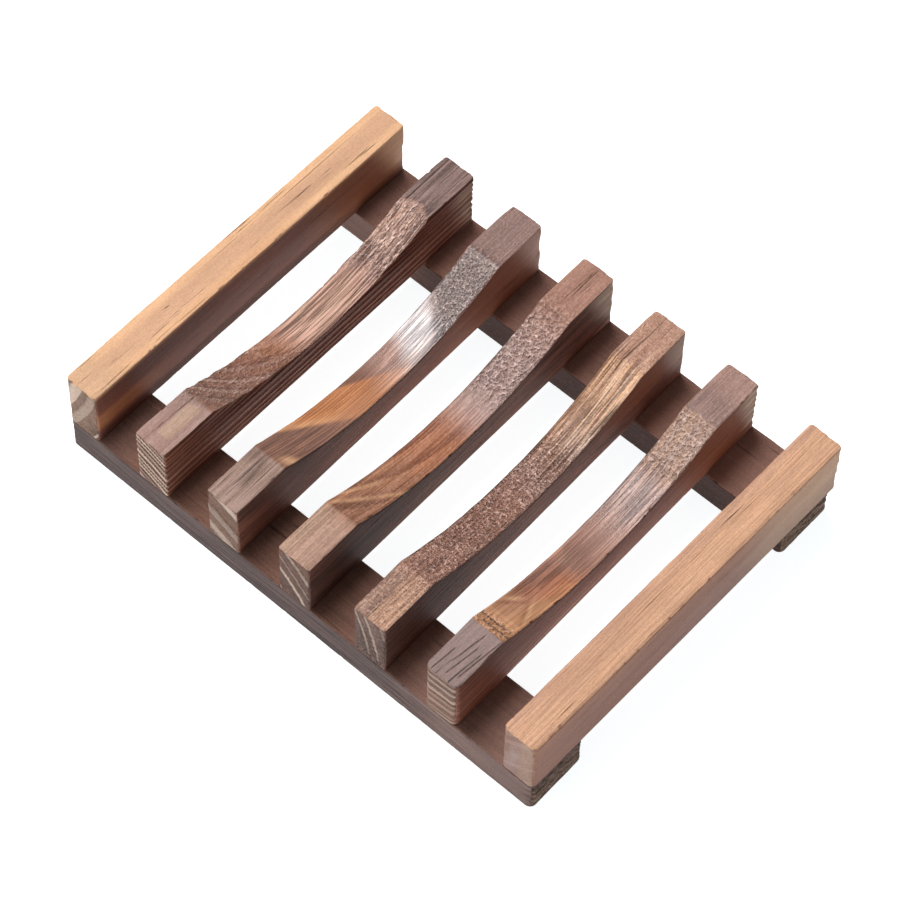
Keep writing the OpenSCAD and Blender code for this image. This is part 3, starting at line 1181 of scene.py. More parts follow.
def scorched_fir(name, ring_contrast=0.8, fibre_contrast=0.4, rub_and_highlight=0.08, brush=0.0, shine=0.18):
    """Scorched fir: contrasts, rubbed edges with a painted rim highlight, brush marks and shine."""
    material = bpy.data.materials.new(name)
    material.use_nodes = True
    t = material.node_tree
    t.nodes.clear()
    parts = {part: add(t, STORED, out="Fac", attribute_name=part) for part in ("ring", "line")}
    for part in ("grain", "tear"):
        parts[part] = add(t, STORED, out="Vector", attribute_name=part)
    marks = {mark: add(t, STORED, out="Fac", attribute_name=mark) for mark in MARKS}
    colour, relief = wood_colour(t, parts, marks, ring_contrast, fibre_contrast, rub_and_highlight)
    if brush:
        scratched = brush_marks(t, parts["grain"])
        shown = add(t, MATHS, (scratched, brush), operation="MULTIPLY")
        colour = add(t, MIX, {0: shown, 6: colour, 7: BRUSHED}, out=2, data_type="RGBA")
        relief = add(t, MATHS, (scratched, -SCRATCH_DEPTH, relief), operation="MULTIPLY_ADD")
    bump = add(t, "ShaderNodeBump", {"Height": relief, "Distance": MM, "Strength": 1.0})
    rough = add(t, RANGES, (marks["gloss"], 0.0, 1.0, MATT, POLISHED))
    rough = add(t, MATHS, (marks["torn"], TORN_EXTRA, rough), operation="MULTIPLY_ADD")
    shine = add(t, RANGES, (marks["gloss"], 0.0, 1.0, shine, POLISHED_SHINE))
    finish = {"Base Color": colour, "Roughness": rough, "Specular IOR Level": shine, "Normal": bump}
    shader = add(t, "ShaderNodeBsdfPrincipled", finish)
    t.links.new(shader, t.nodes.new("ShaderNodeOutputMaterial").inputs["Surface"])
    print(name, "has", len(t.nodes), "nodes")
    return material


TAN_FIR = scorched_fir("fir_sawn_and_lightly_scorched", 0.5, 0.18, rub_and_highlight=0.3)
SCOOPED_FIR = scorched_fir("fir_scorched_and_brushed")
RAIL_FIR = scorched_fir("fir_charred_and_wire_brushed", 0.15, 0.14, brush=0.12, shine=0.12)

# %% [markdown]
# ## The slats
# Each slat has its own pith, so that its end grain, its sides and its scoop all show the same
# rings, and its own patches. The two end slats were sawn and barely scorched, so their tops are
# tan. The left one is browner on its side: charred under the top, with an orange stretch at the
# front, and bare again at the back end.

# %% Describe the left end slat
FIGURE = {}
PATCHES = {}
SPLITS = {}


def described(node):
    """Says how much is painted and drawn on a slat."""
    print(node, "has", len(PATCHES[node]), "patches and", len(SPLITS[node]), "splits")


FIGURE["left_end_slat"] = {
    "Pith X": -50, "Pith Z": 32, "Ring Width": 4.4, "Lean X": 0.02, "Line Share": 0.34,
    "Front Corner": 1.0, "Chip Depth": 0.6,
}
PATCHES["left_end_slat"] = [
    top("tan"),
    top("blush", 0.05, 2, 0.25, across=(-0.5, 0.5), soft=0.1, hem=0.25),
    top("base", 0.05, 2, 0.12, across=(-0.5, 0.5), soft=0.1, hem=0.25),
    top("base", 0.5, 2, 0.08, across=(-0.5, 0.5), soft=0.1, hem=0.25),
    top("oat", -1, 0.08, 0.3, soft=0.05),
    top("warm", 0.3, 0.62, 0.15, across=(0.5, 3), soft=0.1),
    sides("russet"),
    sides("char", -1, 0.45, 0.3, across=(0.2, 0.9), slant=-0.1, soft=0.1),
    sides("warm", -1, 0.2, 0.5, across=(-0.5, 0.1), soft=0.1, hem=0.12),
    sides("smoke", 0.15, 0.75, 0.3, across=(-0.6, 0.2), soft=0.1),
    sides("char", strength=0.6, across=(-3, -0.62), hem=0.08),
    sides("warm", 0.7, 2, 0.25, across=(-0.9, 3), soft=0.08),
    sides("tan", 0.94, 2, 0.7, across=(-0.5, 3), slant=-0.04, soft=0.04),
    sides("tan", strength=0.5, across=(0.88, 3), hem=0.06),
    ends("oat", strength=0.5),
    ends("base", 0.2, 3, 0.4, soft=0.2),
    ends("char", 0.4, 3, 0.4, across=(-3, -0.4), soft=0.3, hem=0.3),
    ends("torn", strength=0.3),
    ends("figured"),
    ends("brushed", strength=0.85),
]
SPLITS["left_end_slat"] = [
    ("top", (0.18, 1.0), (-0.56, -0.52), 0.03),
    ("top", (0.2, 0.9), (0.8, 0.82), 0.0),
    ("top", (0.66, 0.76), (0.5, 0.52), 0.02),
    ("top", (0.275, 0.285), (-0.22, -0.18), 0.2),
    ("top", (0.66, 0.86), (-0.7, -0.72), 0.0),
]
described("left_end_slat")

# %% [markdown]
# The right end slat is a little pinker, its front corners are rounder, and one long fine split
# runs along its top.

# %% Describe the right end slat
FIGURE["right_end_slat"] = {
    "Pith X": -50, "Pith Z": 80, "Ring Width": 4.0, "Lean X": 0.01, "Line Share": 0.5,
    "Edge Radius": 0.6, "Front Corner": 1.3,
}
PATCHES["right_end_slat"] = [
    top("tan"),
    top("blush", strength=0.4),
    top("warm", strength=0.12),
    top("blush", strength=0.2, across=(-3, -0.5), hem=0.3),
    top("base", 0.1, 0.5, 0.14, across=(-3, 0.2), soft=0.1),
    sides("blush", strength=0.2),
    sides("russet", -1, 0.75, 0.3, soft=0.15),
    sides("smoke", 0.45, 0.85, 0.4, across=(-3, 0), soft=0.1, hem=0.3),
    sides("oat", 0.7, 2, 0.55, soft=0.1),
    sides("tan", 0.8, 2, 0.25, across=(-0.2, 3), soft=0.1),
    sides("warm", strength=0.12, across=(0.5, 3), hem=0.3),
    ends("blush", strength=0.3),
    ends("smoke", strength=0.35),
    ends("oat", 0.1, 2, 0.4, soft=0.2),
    ends("silver", -0.6, 0, 0.2, across=(-0.9, 0.4), slant=0.2, soft=0.35, hem=0.5),
    ends("base", -3, -0.4, 0.5, across=(-0.3, 3), soft=0.2, hem=0.3),
    ends("torn", strength=0.15),
    ends("brushed", strength=0.2),
    top("silky", strength=0.2),
]
SPLITS["right_end_slat"] = [
    ("top", (0.05, 0.55), (-0.05, -0.25), 0.06),
    ("top", (0.5, 1.0), (-0.3, -0.1), 0.05),
    ("top", (0.2, 0.5), (0.25, 0.2), 0.0),
    ("top", (0.02, 0.97), (0.86, 0.88), 0.0),
    ("right", (0.2, 0.9), (0.35, 0.3), 0.0),
]
described("right_end_slat")

# %% [markdown]
# The rings of the first scooped slat lie close together and cross its side, so brushing has left
# its side ribbed. In the front of the scoop they show as slanting pale lines, and a patch of bare
# wood is left on the front plateau.

# %% Describe the first scooped slat
FIGURE["scooped_slat_1"] = {
    "Pith X": -26, "Pith Z": -50, "Ring Width": 1.6, "Lean X": 0.02, "Lean Z": -0.01,
    "Ridge Depth": 0.3, "Front Depth": 0.05, "Line Share": 0.35, "Ring Drift": 0.7,
    "Tear Across": 2.1, "Tear Along": 0.9,
}
PATCHES["scooped_slat_1"] = [
    top("smoke", -1, 0.15, soft=0.005),
    top("blush", -1, 0.15, 0.4, soft=0.005),
    top("oat", 0.035, 0.14, 0.7, across=(-0.25, 0.5), soft=0.004, hem=0.05),
    top("smoke", 0.15, 0.38, 0.4, slant=0.03, soft=0.03),
    top("rust", 0.2, 0.42, 0.2, slant=0.03, soft=0.06),
    top("rust", 0.29, 0.42, 0.2, slant=0.03, soft=0.04),
    top("warm", 0.38, 0.45, 0.4, slant=0.03, soft=0.04),
    top("blush", 0.42, 0.7, 0.8, soft=0.06),
    top("oat", 0.45, 0.66, 0.35, soft=0.05),
    top("blush", 0.66, 0.86, 0.95, bend=-0.02, soft=0.03),
    top("silver", 0.68, 0.86, 0.2, bend=-0.02, soft=0.03),
    top("tan", 0.68, 0.86, 0.12, bend=-0.02, soft=0.03),
    top("smoke", 0.86, 2, bend=-0.02, soft=0.004),
    top("char", 0.86, 2, 0.34, bend=-0.02, soft=0.005),
    sides("russet"),
    sides("char", -1, 0.7, 0.12, across=(0.1, 3), soft=0.2, hem=0.5),
    sides("rust", -1, 0.3, 0.25, soft=0.12),
    sides("oat", 0.94, 2, 0.6, across=(-0.9, 0.8), slant=-0.02, soft=0.03),
    right("char", strength=0.5, across=(0.95, 3), hem=0.04),
    ends("base"),
    ends("blush", strength=0.15),
    top("torn", -1, 0.15, 0.15),
    top("torn", 0.15, 0.42, 0.55, slant=0.03, soft=0.04),
    top("torn", 0.68, 0.86, 1.1, bend=-0.02, soft=0.04),
    sides("figured"),
    ends("figured"),
    top("figured", 0.15, 0.42, soft=0.05),
    top("figured", 0.42, 0.86, 0.3, soft=0.05),
    top("brushed", 0.15, 0.45, 0.55, soft=0.05),
    top("silky", 0.4, 0.86, soft=0.06),
    top("silky", 0.86, 2, 0.15),
    ends("brushed"),
    sides("brushed", strength=0.95, across=(-3, 0.4), hem=0.5),
    sides("brushed", 0.93, 2, 0.8, across=(-3, 0.8), soft=0.03),
]
SPLITS["scooped_slat_1"] = [
    ("top", (0.0, 0.15), (-0.42, -0.3), 0.16),
    ("top", (0.0, 0.14), (0.72, 0.78), 0.02),
    ("top", (0.86, 1.0), (-0.62, -0.7), 0.14),
    ("top", (0.88, 0.98), (0.2, 0.25), 0.0),
    ("top", (0.5, 0.66), (0.5, 0.62), 0.0),
]
described("scooped_slat_1")

# %% [markdown]
# The second was cut along a wide band of early wood, which scorched orange and then, where the
# cutter polished it, shines. The silver there is partly that shine and partly a painted glare,
# where the softbox's reflection lies. Behind that the grain is torn.

# %% Describe the second scooped slat
FIGURE["scooped_slat_2"] = {
    "Pith X": -32, "Pith Z": -50, "Ring Width": 6.1, "Lean X": 0.02, "Lean Z": -0.01,
    "Line Share": 0.42, "Ring Drift": 0.4, "Ring Start": 0.78, "Tear Across": 2.1,
    "Tear Along": 1.9,
}
PATCHES["scooped_slat_2"] = [
    top("smoke", -1, 0.15, soft=0.005),
    top("oat", -1, 0.15, 0.3, soft=0.005),
    top("char", 0.06, 0.135, 0.4, across=(-0.05, 0.3), soft=0.02, hem=0.2),
    top("char", 0.12, 0.15, 0.3, across=(-3, 0.1), soft=0.02, hem=0.2),
    top("char", 0.15, 0.31, 0.32, slant=0.05, soft=0.02),
    top("blush", 0.15, 0.31, 0.1, slant=0.05, soft=0.02),
    top("tan", 0.15, 0.175, 0.7, across=(0.4, 3), slant=0.02, soft=0.015, hem=0.3),
    top("warm", 0.31, 0.5, 0.9, slant=0.085, bend=-0.01, soft=0.012),
    top("tan", 0.31, 0.34, 0.4, across=(-3, 0.4), slant=0.085, bend=-0.01, soft=0.02),
    top("base", 0.34, 0.5, 0.45, across=(0.2, 3), soft=0.03, hem=0.4),
    top("blush", 0.49, 0.7, 0.55, soft=0.045),
    # Painted glare: these silver patches are where the softbox's reflection lies on the polished
    # far slope and glints on the torn grain behind it.
    top("silver", 0.58, 0.7, 0.45, slant=-0.03, soft=0.04),
    top("silver", 0.585, 0.7, 0.95, across=(-3, 0.55), slant=-0.02, soft=0.035, hem=0.4),
    top("smoke", 0.68, 0.85, 0.7, slant=(-0.045, 0), soft=0.012),
    top("blush", 0.74, 0.85, 0.35, soft=0.03),
    top("silver", 0.68, 0.85, 0.8, slant=(-0.045, 0), soft=0.02),
    top("blush", 0.69, 0.85, 0.3, soft=0.02),
    top("silver", 0.846, 0.85, 0.4, soft=0.002),
    top("smoke", 0.85, 2, soft=0.003),
    top("base", 0.85, 2, 0.15, soft=0.003),
    sides("russet"),
    # The front of each side is darker: partly char, and partly painted shade where the next slat
    # and the front rail close in.
    sides("char", -1, 0.45, 0.3, soft=0.2),
    sides("char", -1, 0.5, 0.25, across=(0.2, 3), soft=0.1, hem=0.4),
    sides("rust", 0.66, 0.95, 0.22, soft=0.06),
    sides("blush", 0.95, 2, 0.75, slant=-0.04, soft=0.03),
    right("char", strength=0.6, across=(0.95, 3), hem=0.04),
    right("char", 0.14, 0.64, 0.8, across=(0.87, 3), soft=0.06, hem=0.05),
    ends("base", strength=0.8),
    ends("oat", strength=0.15),
    ends("torn", strength=0.25),
    top("gloss", 0.5, 0.74, soft=0.05),
    top("torn", -1, 0.15, 0.15),
    top("torn", 0.69, 0.85, 1.45, slant=(-0.045, 0), soft=0.03),
    top("torn", 0.85, 2, 0.25, soft=0.003),
    ends("figured"),
    top("figured", 0.28, 0.5, 0.3),
    top("silky", 0.15, 0.52, 0.3, soft=0.03),
    top("silky", 0.52, 0.72, soft=0.05),
    top("silky", -1, 0.15, 0.3),
    ends("brushed", strength=0.85),
]
SPLITS["scooped_slat_2"] = [
    ("top", (0.02, 0.14), (-0.1, -0.05), 0.04),
    ("top", (0.06, 0.14), (0.3, 0.32), 0.04),
    ("top", (0.855, 1.0), (0.8, 0.82), 0.0),
]
described("scooped_slat_2")

# %% [markdown]
# The third is torn over the back half of its scoop. Its sides are dark satin, where the char was
# left and rubbed smooth, and the front half of each side is darker again, partly char and partly
# painted shade.

# %% Describe the third scooped slat
FIGURE["scooped_slat_3"] = {
    "Pith X": -42, "Pith Z": -30, "Ring Width": 3.7, "Lean X": 0.03, "Line Share": 0.2,
    "Ring Drift": 0.5, "Tear Across": 1.2, "Tear Along": 1.2,
}
PATCHES["scooped_slat_3"] = [
    top("blush", -1, 0.15, 0.75, soft=0.005),
    top("oat", -1, 0.15, 0.35, soft=0.005),
    top("oat", -1, 0.15, 0.5, across=(-3, -0.45), soft=0.005, hem=0.08),
    top("warm", 0.15, 0.48, 0.3, soft=0.04),
    top("base", 0.15, 0.25, 0.4, across=(-0.6, 1), soft=0.04),
    top("tan", 0.215, 0.235, 0.55, across=(-0.9, 3), slant=0.08, soft=0.012),
    top("tan", 0.31, 0.335, 0.6, across=(-3, -0.2), slant=0.13, soft=0.012),
    top("rust", 0.37, 0.54, 0.4, soft=0.05),
    top("blush", 0.52, 0.85, 0.85, soft=0.04),
    top("smoke", 0.56, 0.76, 0.35, soft=0.04),
    top("silver", 0.56, 0.8, 0.2, soft=0.05),
    top("blush", 0.85, 2, 0.5, soft=0.003),
    top("rust", 0.85, 2, 0.1, soft=0.003),
    sides("russet", strength=0.8),
    # The front of each side is darker: partly char, and partly painted shade where the next slat
    # and the front rail close in.
    sides("char", -1, 0.45, 0.75, soft=0.35),
    sides("char", strength=0.2),
    sides("char", 0.72, 0.94, 0.35, soft=0.08),
    sides("russet", -1, 0.2, 0.3, across=(0.4, 3), soft=0.05, hem=0.2),
    sides("oat", 0.95, 2, 0.8, across=(-0.5, 3), slant=-0.03, soft=0.03),
    right("char", strength=0.6, across=(0.95, 3), hem=0.04),
    right("char", 0.1, 0.6, 0.8, across=(0.87, 3), soft=0.06, hem=0.05),
    ends("base"),
    ends("char", strength=0.3, across=(-3, 0.2), hem=0.6),
    ends("torn", strength=0.25),
    top("torn", -1, 0.15, 0.2),
    top("torn", 0.15, 0.56, 0.2),
    top("torn", 0.6, 0.85, 1.0, soft=0.06),
    top("torn", 0.85, 2, 0.2),
    ends("figured"),
    top("figured", 0.15, 0.5, 0.6),
    top("silky", 0.15, 0.6, 0.4, soft=0.05),
    top("silky", -1, 0.15, 0.15),
    top("silky", 0.85, 2, 0.15),
    ends("brushed"),
    sides("brushed", 0.94, 2, 0.7, soft=0.02),
]
SPLITS["scooped_slat_3"] = [
    ("top", (0.86, 0.97), (-0.18, -0.05), 0.12),
    ("top", (0.86, 1.0), (0.62, 0.66), 0.04),
    ("top", (0.3, 0.62), (0.0, 0.12), 0.0),
    ("top", (0.0, 0.14), (0.2, 0.22), 0.0),
]
described("scooped_slat_3")

# %% [markdown]
# The fourth is torn over most of its scoop, in bumps that lie across it. At the back the fibres are
# combed out in tan lines, with fine cracks between them.

# %% Describe the fourth scooped slat
FIGURE["scooped_slat_4"] = {
    "Pith X": -60, "Pith Z": -8, "Ring Width": 3.0, "Lean X": 0.03, "Line Share": 0.2,
    "Ring Drift": 0.8, "Tear Across": 1.35, "Tear Along": 2.3,
}
PATCHES["scooped_slat_4"] = [
    top("blush", -1, 0.15, 0.8, soft=0.005),
    top("tan", -1, 0.15, 0.35, soft=0.005),
    top("smoke", -1, 0.15, 0.5, across=(-3, -0.15), soft=0.005, hem=0.08),
    top("warm", 0.58, 2, 0.35, soft=0.06),
    top("blush", 0.15, 0.62, 0.75, soft=0.06),
    top("smoke", 0.5, 0.62, 0.3, across=(-0.2, 3), soft=0.06),
    top("rust", 0.15, 0.5, 0.2, soft=0.06),
    top("blush", 0.5, 0.9, 0.7, soft=0.05),
    top("silver", 0.62, 0.84, 0.6, across=(-0.4, 3), soft=0.05, hem=0.4),
    top("oat", 0.66, 0.85, 0.3, across=(-0.1, 3), soft=0.08),
    top("tan", 0.58, 0.92, 0.3, soft=0.06),
    top("tan", 0.68, 2, 0.45, soft=0.06),
    top("blush", 0.85, 2, 0.6, soft=0.01),
    sides("russet", strength=0.8),
    # The front of each side is darker: partly char, and partly painted shade where the next slat
    # and the front rail close in.
    sides("char", -1, 0.45, 0.75, soft=0.35),
    sides("char", strength=0.15),
    sides("char", 0.7, 0.94, 0.3, across=(-3, 0), soft=0.08),
    sides("smoke", 0.3, 0.6, 0.12, soft=0.1),
    sides("rust", 0.72, 0.93, 0.22, across=(-0.2, 3), soft=0.05),
    sides("smoke", 0.95, 2, 0.6, across=(-0.4, 3), slant=-0.03, soft=0.03),
    sides("oat", 0.95, 2, 0.5, across=(-0.4, 3), slant=-0.03, soft=0.03),
    right("char", strength=0.5, across=(0.95, 3), hem=0.04),
    right("char", 0.3, 0.7, 0.6, across=(0.87, 3), soft=0.06, hem=0.05),
    ends("smoke", strength=0.4),
    ends("char", strength=0.6, across=(-3, 0.1), hem=0.8),
    ends("torn", strength=0.4),
    top("torn", -1, 0.15, 0.6),
    top("torn", 0.15, 0.64, 1.15, soft=0.05),
    top("torn", 0.64, 2, 0.45, soft=0.05),
    ends("figured"),
    top("figured", 0.6, 0.9, 0.9, soft=0.05),
    top("silky", 0.15, 0.58, 0.4, soft=0.05),
    top("silky", 0.58, 0.88, soft=0.05),
    top("silky", -1, 0.15, 0.4),
    ends("brushed", strength=0.9, across=(-0.6, 3), hem=0.5),
    top("cracked", 0.58, 0.88, 0.5),
]
SPLITS["scooped_slat_4"] = [
    ("top", (0.0, 0.15), (-0.2, 0.1), 0.14),
    ("top", (0.62, 0.86), (-0.4, -0.3), 0.08),
    ("top", (0.66, 0.85), (0.3, 0.4), 0.04),
    ("top", (0.62, 0.8), (0.7, 0.75), 0.0),
    ("top", (0.55, 0.82), (0.05, 0.12), 0.04),
    ("top", (0.6, 0.88), (-0.78, -0.7), 0.04),
]
described("scooped_slat_4")

# %% [markdown]
# The fifth has a grey plateau with long open cracks. Beyond its edge the scoop starts in orange,
# over rings that lie so flat that the cut draws a pointed figure in them, which the thin slanting
# patches follow, and it ends in lilac.

# %% Describe the fifth scooped slat
FIGURE["scooped_slat_5"] = {
    "Pith X": 5, "Pith Z": -60, "Ring Width": 2.2, "Lean Z": 0.04, "Line Share": 0.6,
    "Ring Drift": 1.4, "Front Depth": 0.04, "Front Corner": 1.5, "Skew": -0.02, "Tear Across": 1.3,
    "Tear Along": 1.2,
}
PATCHES["scooped_slat_5"] = [
    top("smoke", -1, 0.15, soft=0.004),
    top("silver", -1, 0.15, 0.1, soft=0.004),
    top("char", -1, 0.15, 0.12, soft=0.004),
    top("tan", 0.15, 0.2, 0.55, soft=0.003),
    top("warm", 0.15, 0.38, 0.45, soft=0.004),
    top("char", 0.16, 0.166, 0.7, across=(-0.7, 2), soft=0.004),
    top("char", 0.176, 0.181, 0.8, across=(-3, 0.6), soft=0.003),
    top("tan", 0.182, 0.19, 0.5, soft=0.003),
    top("tan", 0.2, 0.207, 0.4, soft=0.003),
    top("tan", 0.2, 0.33, 0.28, across=(-0.1, 3), slant=(0, 0.07), soft=0.006),
    top("tan", 0.2, 0.26, 0.28, across=(-3, 0.1), slant=(0, -0.06), soft=0.006),
    top("base", 0.2, 0.34, 0.4, across=(-3, 0.2), soft=0.03, hem=0.6),
    top("russet", 0.265, 0.275, 0.6, across=(-0.9, 0), slant=0.05, soft=0.008, hem=0.3),
    top("tan", 0.28, 0.295, 0.6, across=(-0.8, 0), slant=0.05, soft=0.008, hem=0.3),
    top("russet", 0.275, 0.29, 0.45, across=(0, 0.8), slant=-0.09, soft=0.008, hem=0.3),
    top("tan", 0.3, 0.318, 0.5, across=(0, 0.8), slant=-0.1, soft=0.008, hem=0.3),
    top("rust", 0.3, 0.4, 0.5, bend=0.04, soft=0.02),
    top("russet", 0.27, 0.4, 0.55, across=(-3, 0.3), soft=0.02, hem=0.5),
    top("smoke", 0.31, 0.42, 0.4, across=(-3, -0.2), soft=0.03, hem=0.5),
    top("char", 0.27, 0.41, 0.2, across=(-3, 0.1), soft=0.03, hem=0.4),
    top("blush", 0.4, 0.5, 0.3, soft=0.03),
    top("blush", 0.48, 0.85, 0.6, soft=0.05),
    # Painted glare: a pale band where the softbox's reflection lies on the polished far slope.
    top("silver", 0.57, 0.7, 0.3, soft=0.05),
    top("tan", 0.7, 0.85, 0.4, soft=0.03),
    top("silver", 0.7, 0.85, 0.25, soft=0.03),
    top("smoke", 0.85, 2, 0.8, soft=0.003),
    top("blush", 0.93, 2, 0.4, soft=0.03),
    sides("russet"),
    sides("char", -1, 0.2, 0.25, across=(0.0, 3), soft=0.2, hem=0.4),
    sides("blush", 0.15, 0.78, 0.15, across=(-3, 0), soft=0.1),
    sides("rust", 0.75, 0.95, 0.25, soft=0.06),
    sides("oat", 0.96, 2, 0.85, across=(-0.6, 3), slant=-0.03, soft=0.03),
    right("char", strength=0.5, across=(0.95, 3), hem=0.04),
    right("char", 0.3, 0.66, 0.6, across=(0.87, 3), soft=0.06, hem=0.05),
    ends("base", strength=0.7),
    ends("char", strength=0.3, across=(0.2, 3), hem=0.5),
    top("gloss", 0.5, 0.72, soft=0.05),
    top("torn", -1, 0.15, 0.1),
    top("torn", 0.15, 0.19, 0.8, soft=0.004),
    top("torn", 0.55, 0.7, 0.25, soft=0.04),
    top("torn", 0.7, 0.85, 0.9, soft=0.02),
    top("torn", 0.85, 2, 0.2),
    ends("figured", strength=0.7),
    top("silky", 0.55, 0.72, soft=0.03),
    top("silky", 0.18, 0.55, 0.5, soft=0.03),
    top("silky", 0.85, 2, 0.15),
    ends("brushed", strength=0.5),
    sides("brushed", 0.95, 2, 0.5, soft=0.02),
    sides("brushed", -1, 0.5, 0.35, across=(-3, -0.1), soft=0.15, hem=0.4),
    top("cracked", -1, 0.14, 0.25),
    top("cracked", 0.15, 0.2, 0.7),
]
SPLITS["scooped_slat_5"] = [
    ("top", (0.005, 0.09), (0.42, 0.62), 0.28),
    ("top", (0.03, 0.14), (0.62, 0.9), 0.24),
    ("top", (0.01, 0.07), (-0.62, -0.5), 0.28),
    ("top", (0.0, 0.05), (-0.3, -0.22), 0.2),
    ("top", (0.05, 0.13), (-0.15, 0.1), 0.24),
    ("top", (0.02, 0.1), (0.05, 0.3), 0.2),
    ("top", (0.235, 0.3), (-0.5, -0.25), 0.04),
    ("top", (0.25, 0.33), (0.15, -0.05), 0.04),
    ("top", (0.27, 0.34), (-0.7, -0.6), 0.0),
    ("top", (0.2, 0.27), (0.55, 0.45), 0.02),
    ("right", (0.0, 0.5), (-0.45, -0.4), 0.05),
    ("right", (0.05, 0.35), (-0.7, -0.66), 0.03),
]
described("scooped_slat_5")

# %% [markdown]
# Each slat goes to the place of its own node: it is turned to the line between the middles of the
# node's two ends, and set down on the rails.

# %% Make the slats
def slat_place(node):
    """The turn and move that take a batten at the origin to a slat's place on the rails."""
    front, rear = slat_ends(node)
    middle = (front + rear) / 2 * MM
    turn = math.atan2(front[0] - rear[0], rear[1] - front[1])
    return Matrix.Translation((middle[0], middle[1], rail_high.z)) @ Matrix.Rotation(turn, 4, "Z")


pieces = {}
for number, node in enumerate(SLATS, start=1):
    scooped = node not in END_SLATS
    depth = SCOOP_DEPTH if scooped else 0
    inputs = {"Seed": number, "Scoop Radius": SCOOP_RADIUS, "Scoop Depth": depth, **FIGURE[node]}
    inputs = {label: float(value) for label, value in inputs.items()}
    square, material = (FINE_SQUARE, SCOOPED_FIR) if scooped else (PLAIN_SQUARE, TAN_FIR)
    wood = (SLAT_SIZE, square, slat_place(node), material)
    pieces[node] = make_batten(node + "_wood", *wood, PATCHES[node], SPLITS[node], **inputs)


# %% [markdown]
# ## The rails
# A rail is the same kind of batten, laid flat, so it comes from the same tree. Its blank lies along
# Y, and a quarter turn brings its right side to the front of the dish. The rails were charred all
# over and wire-brushed. The front one goes from sooty grey on the left to mauve-brown on the right,
# and their right ends are burnt black and ragged.

# %% Describe the rails
CHARRED = [
    everywhere("char", strength=0.5),
    everywhere("base", 0.7, 2, 0.25, soft=0.2),
    back("char", strength=0.8),
    back("oat", strength=0.35, across=(-3, 0.2), hem=0.5),
    top("smoke", 0.7, 2, 0.25, soft=0.1),
    top("smoke", -1, 0.1, 0.25, soft=0.05),
    everywhere("figured", strength=0.12),
    back("figured"),
    back("torn", strength=0.35),
    ends("brushed", strength=0.12),
]
SOOTY_FACE = [
    right("smoke", strength=0.9),
    right("char", strength=0.35),
    right("char", -1, 0.74, 0.95, soft=0.08),
    right("silver", -1, 0.74, 0.07, soft=0.08),
    right("silky", -1, 0.8, soft=0.1),
]
BACK_LIGHT = [
    top("base", strength=0.5),
    top("smoke", strength=0.3),
    top("russet", strength=0.2),
    left("char", strength=0.5),
    right("char", 0.2, 2, 0.95, soft=0.08),
    right("smoke", -1, 0.18, 0.4, soft=0.06),
]
RAIL_FIGURE = {
    "Pith X": 5.0, "Pith Z": -50.0, "Ring Width": 2.0, "Front Corner": 0.9, "Back Corner": 1.5,
    "Back Depth": 0.35, "Chip Depth": 0.5,
}
print("patches on each rail:", len(CHARRED + SOOTY_FACE), "and", len(CHARRED + BACK_LIGHT))

# %% Make the rails
FIRST_RAIL_SEED = 11
for number, node in enumerate(RAILS, start=FIRST_RAIL_SEED):
    low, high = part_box(node)
    middle = Vector(((low.x + high.x) / 2, (low.y + high.y) / 2, low.z))
    turned = Matrix.Rotation(-math.pi / 2, 4, "Z")
    place = Matrix.Translation(middle) @ turned
    offsets = brad_places(node) - np.array(middle[:2]) / MM
    sunk = np.array([(turned.inverted() @ Vector((x, y, 0)))[:2] for x, y in offsets])
    patches = CHARRED + (SOOTY_FACE if node == RAILS[0] else BACK_LIGHT)
    wood = (RAIL_SIZE, PLAIN_SQUARE, place, RAIL_FIR, patches)
    inputs = {"Seed": float(number), **RAIL_FIGURE}
    pieces[node] = make_batten(node + "_wood", *wood, recesses=sunk, **inputs)


# %% [markdown]
# ## The brads
# The brads are the model's own nodes: plain turned shapes that only show from below, as round heads
# in their recesses. So they keep their shape and get a better finish. A brad is cut from drawn
# steel wire, which is bright with fine lines along it, and steel that has lived in a bathroom is
# freckled with a thin brown bloom. The lines are 0.1 mm wide, coarser than real ones, so that they
# show.

# %% Finish the brads
WIRE_LINES = (9.0, 9.0, 0.4)
BLOOM_LIMITS = (0.5, 0.68)
BLOOM_COVER = 0.7
BLOOM_ROUGHNESS = 0.35
STEEL_ROUGHNESS = (0.28, 0.42)
BLOOM_PER_MM = 1.6
LINE_DEPTH = 0.01


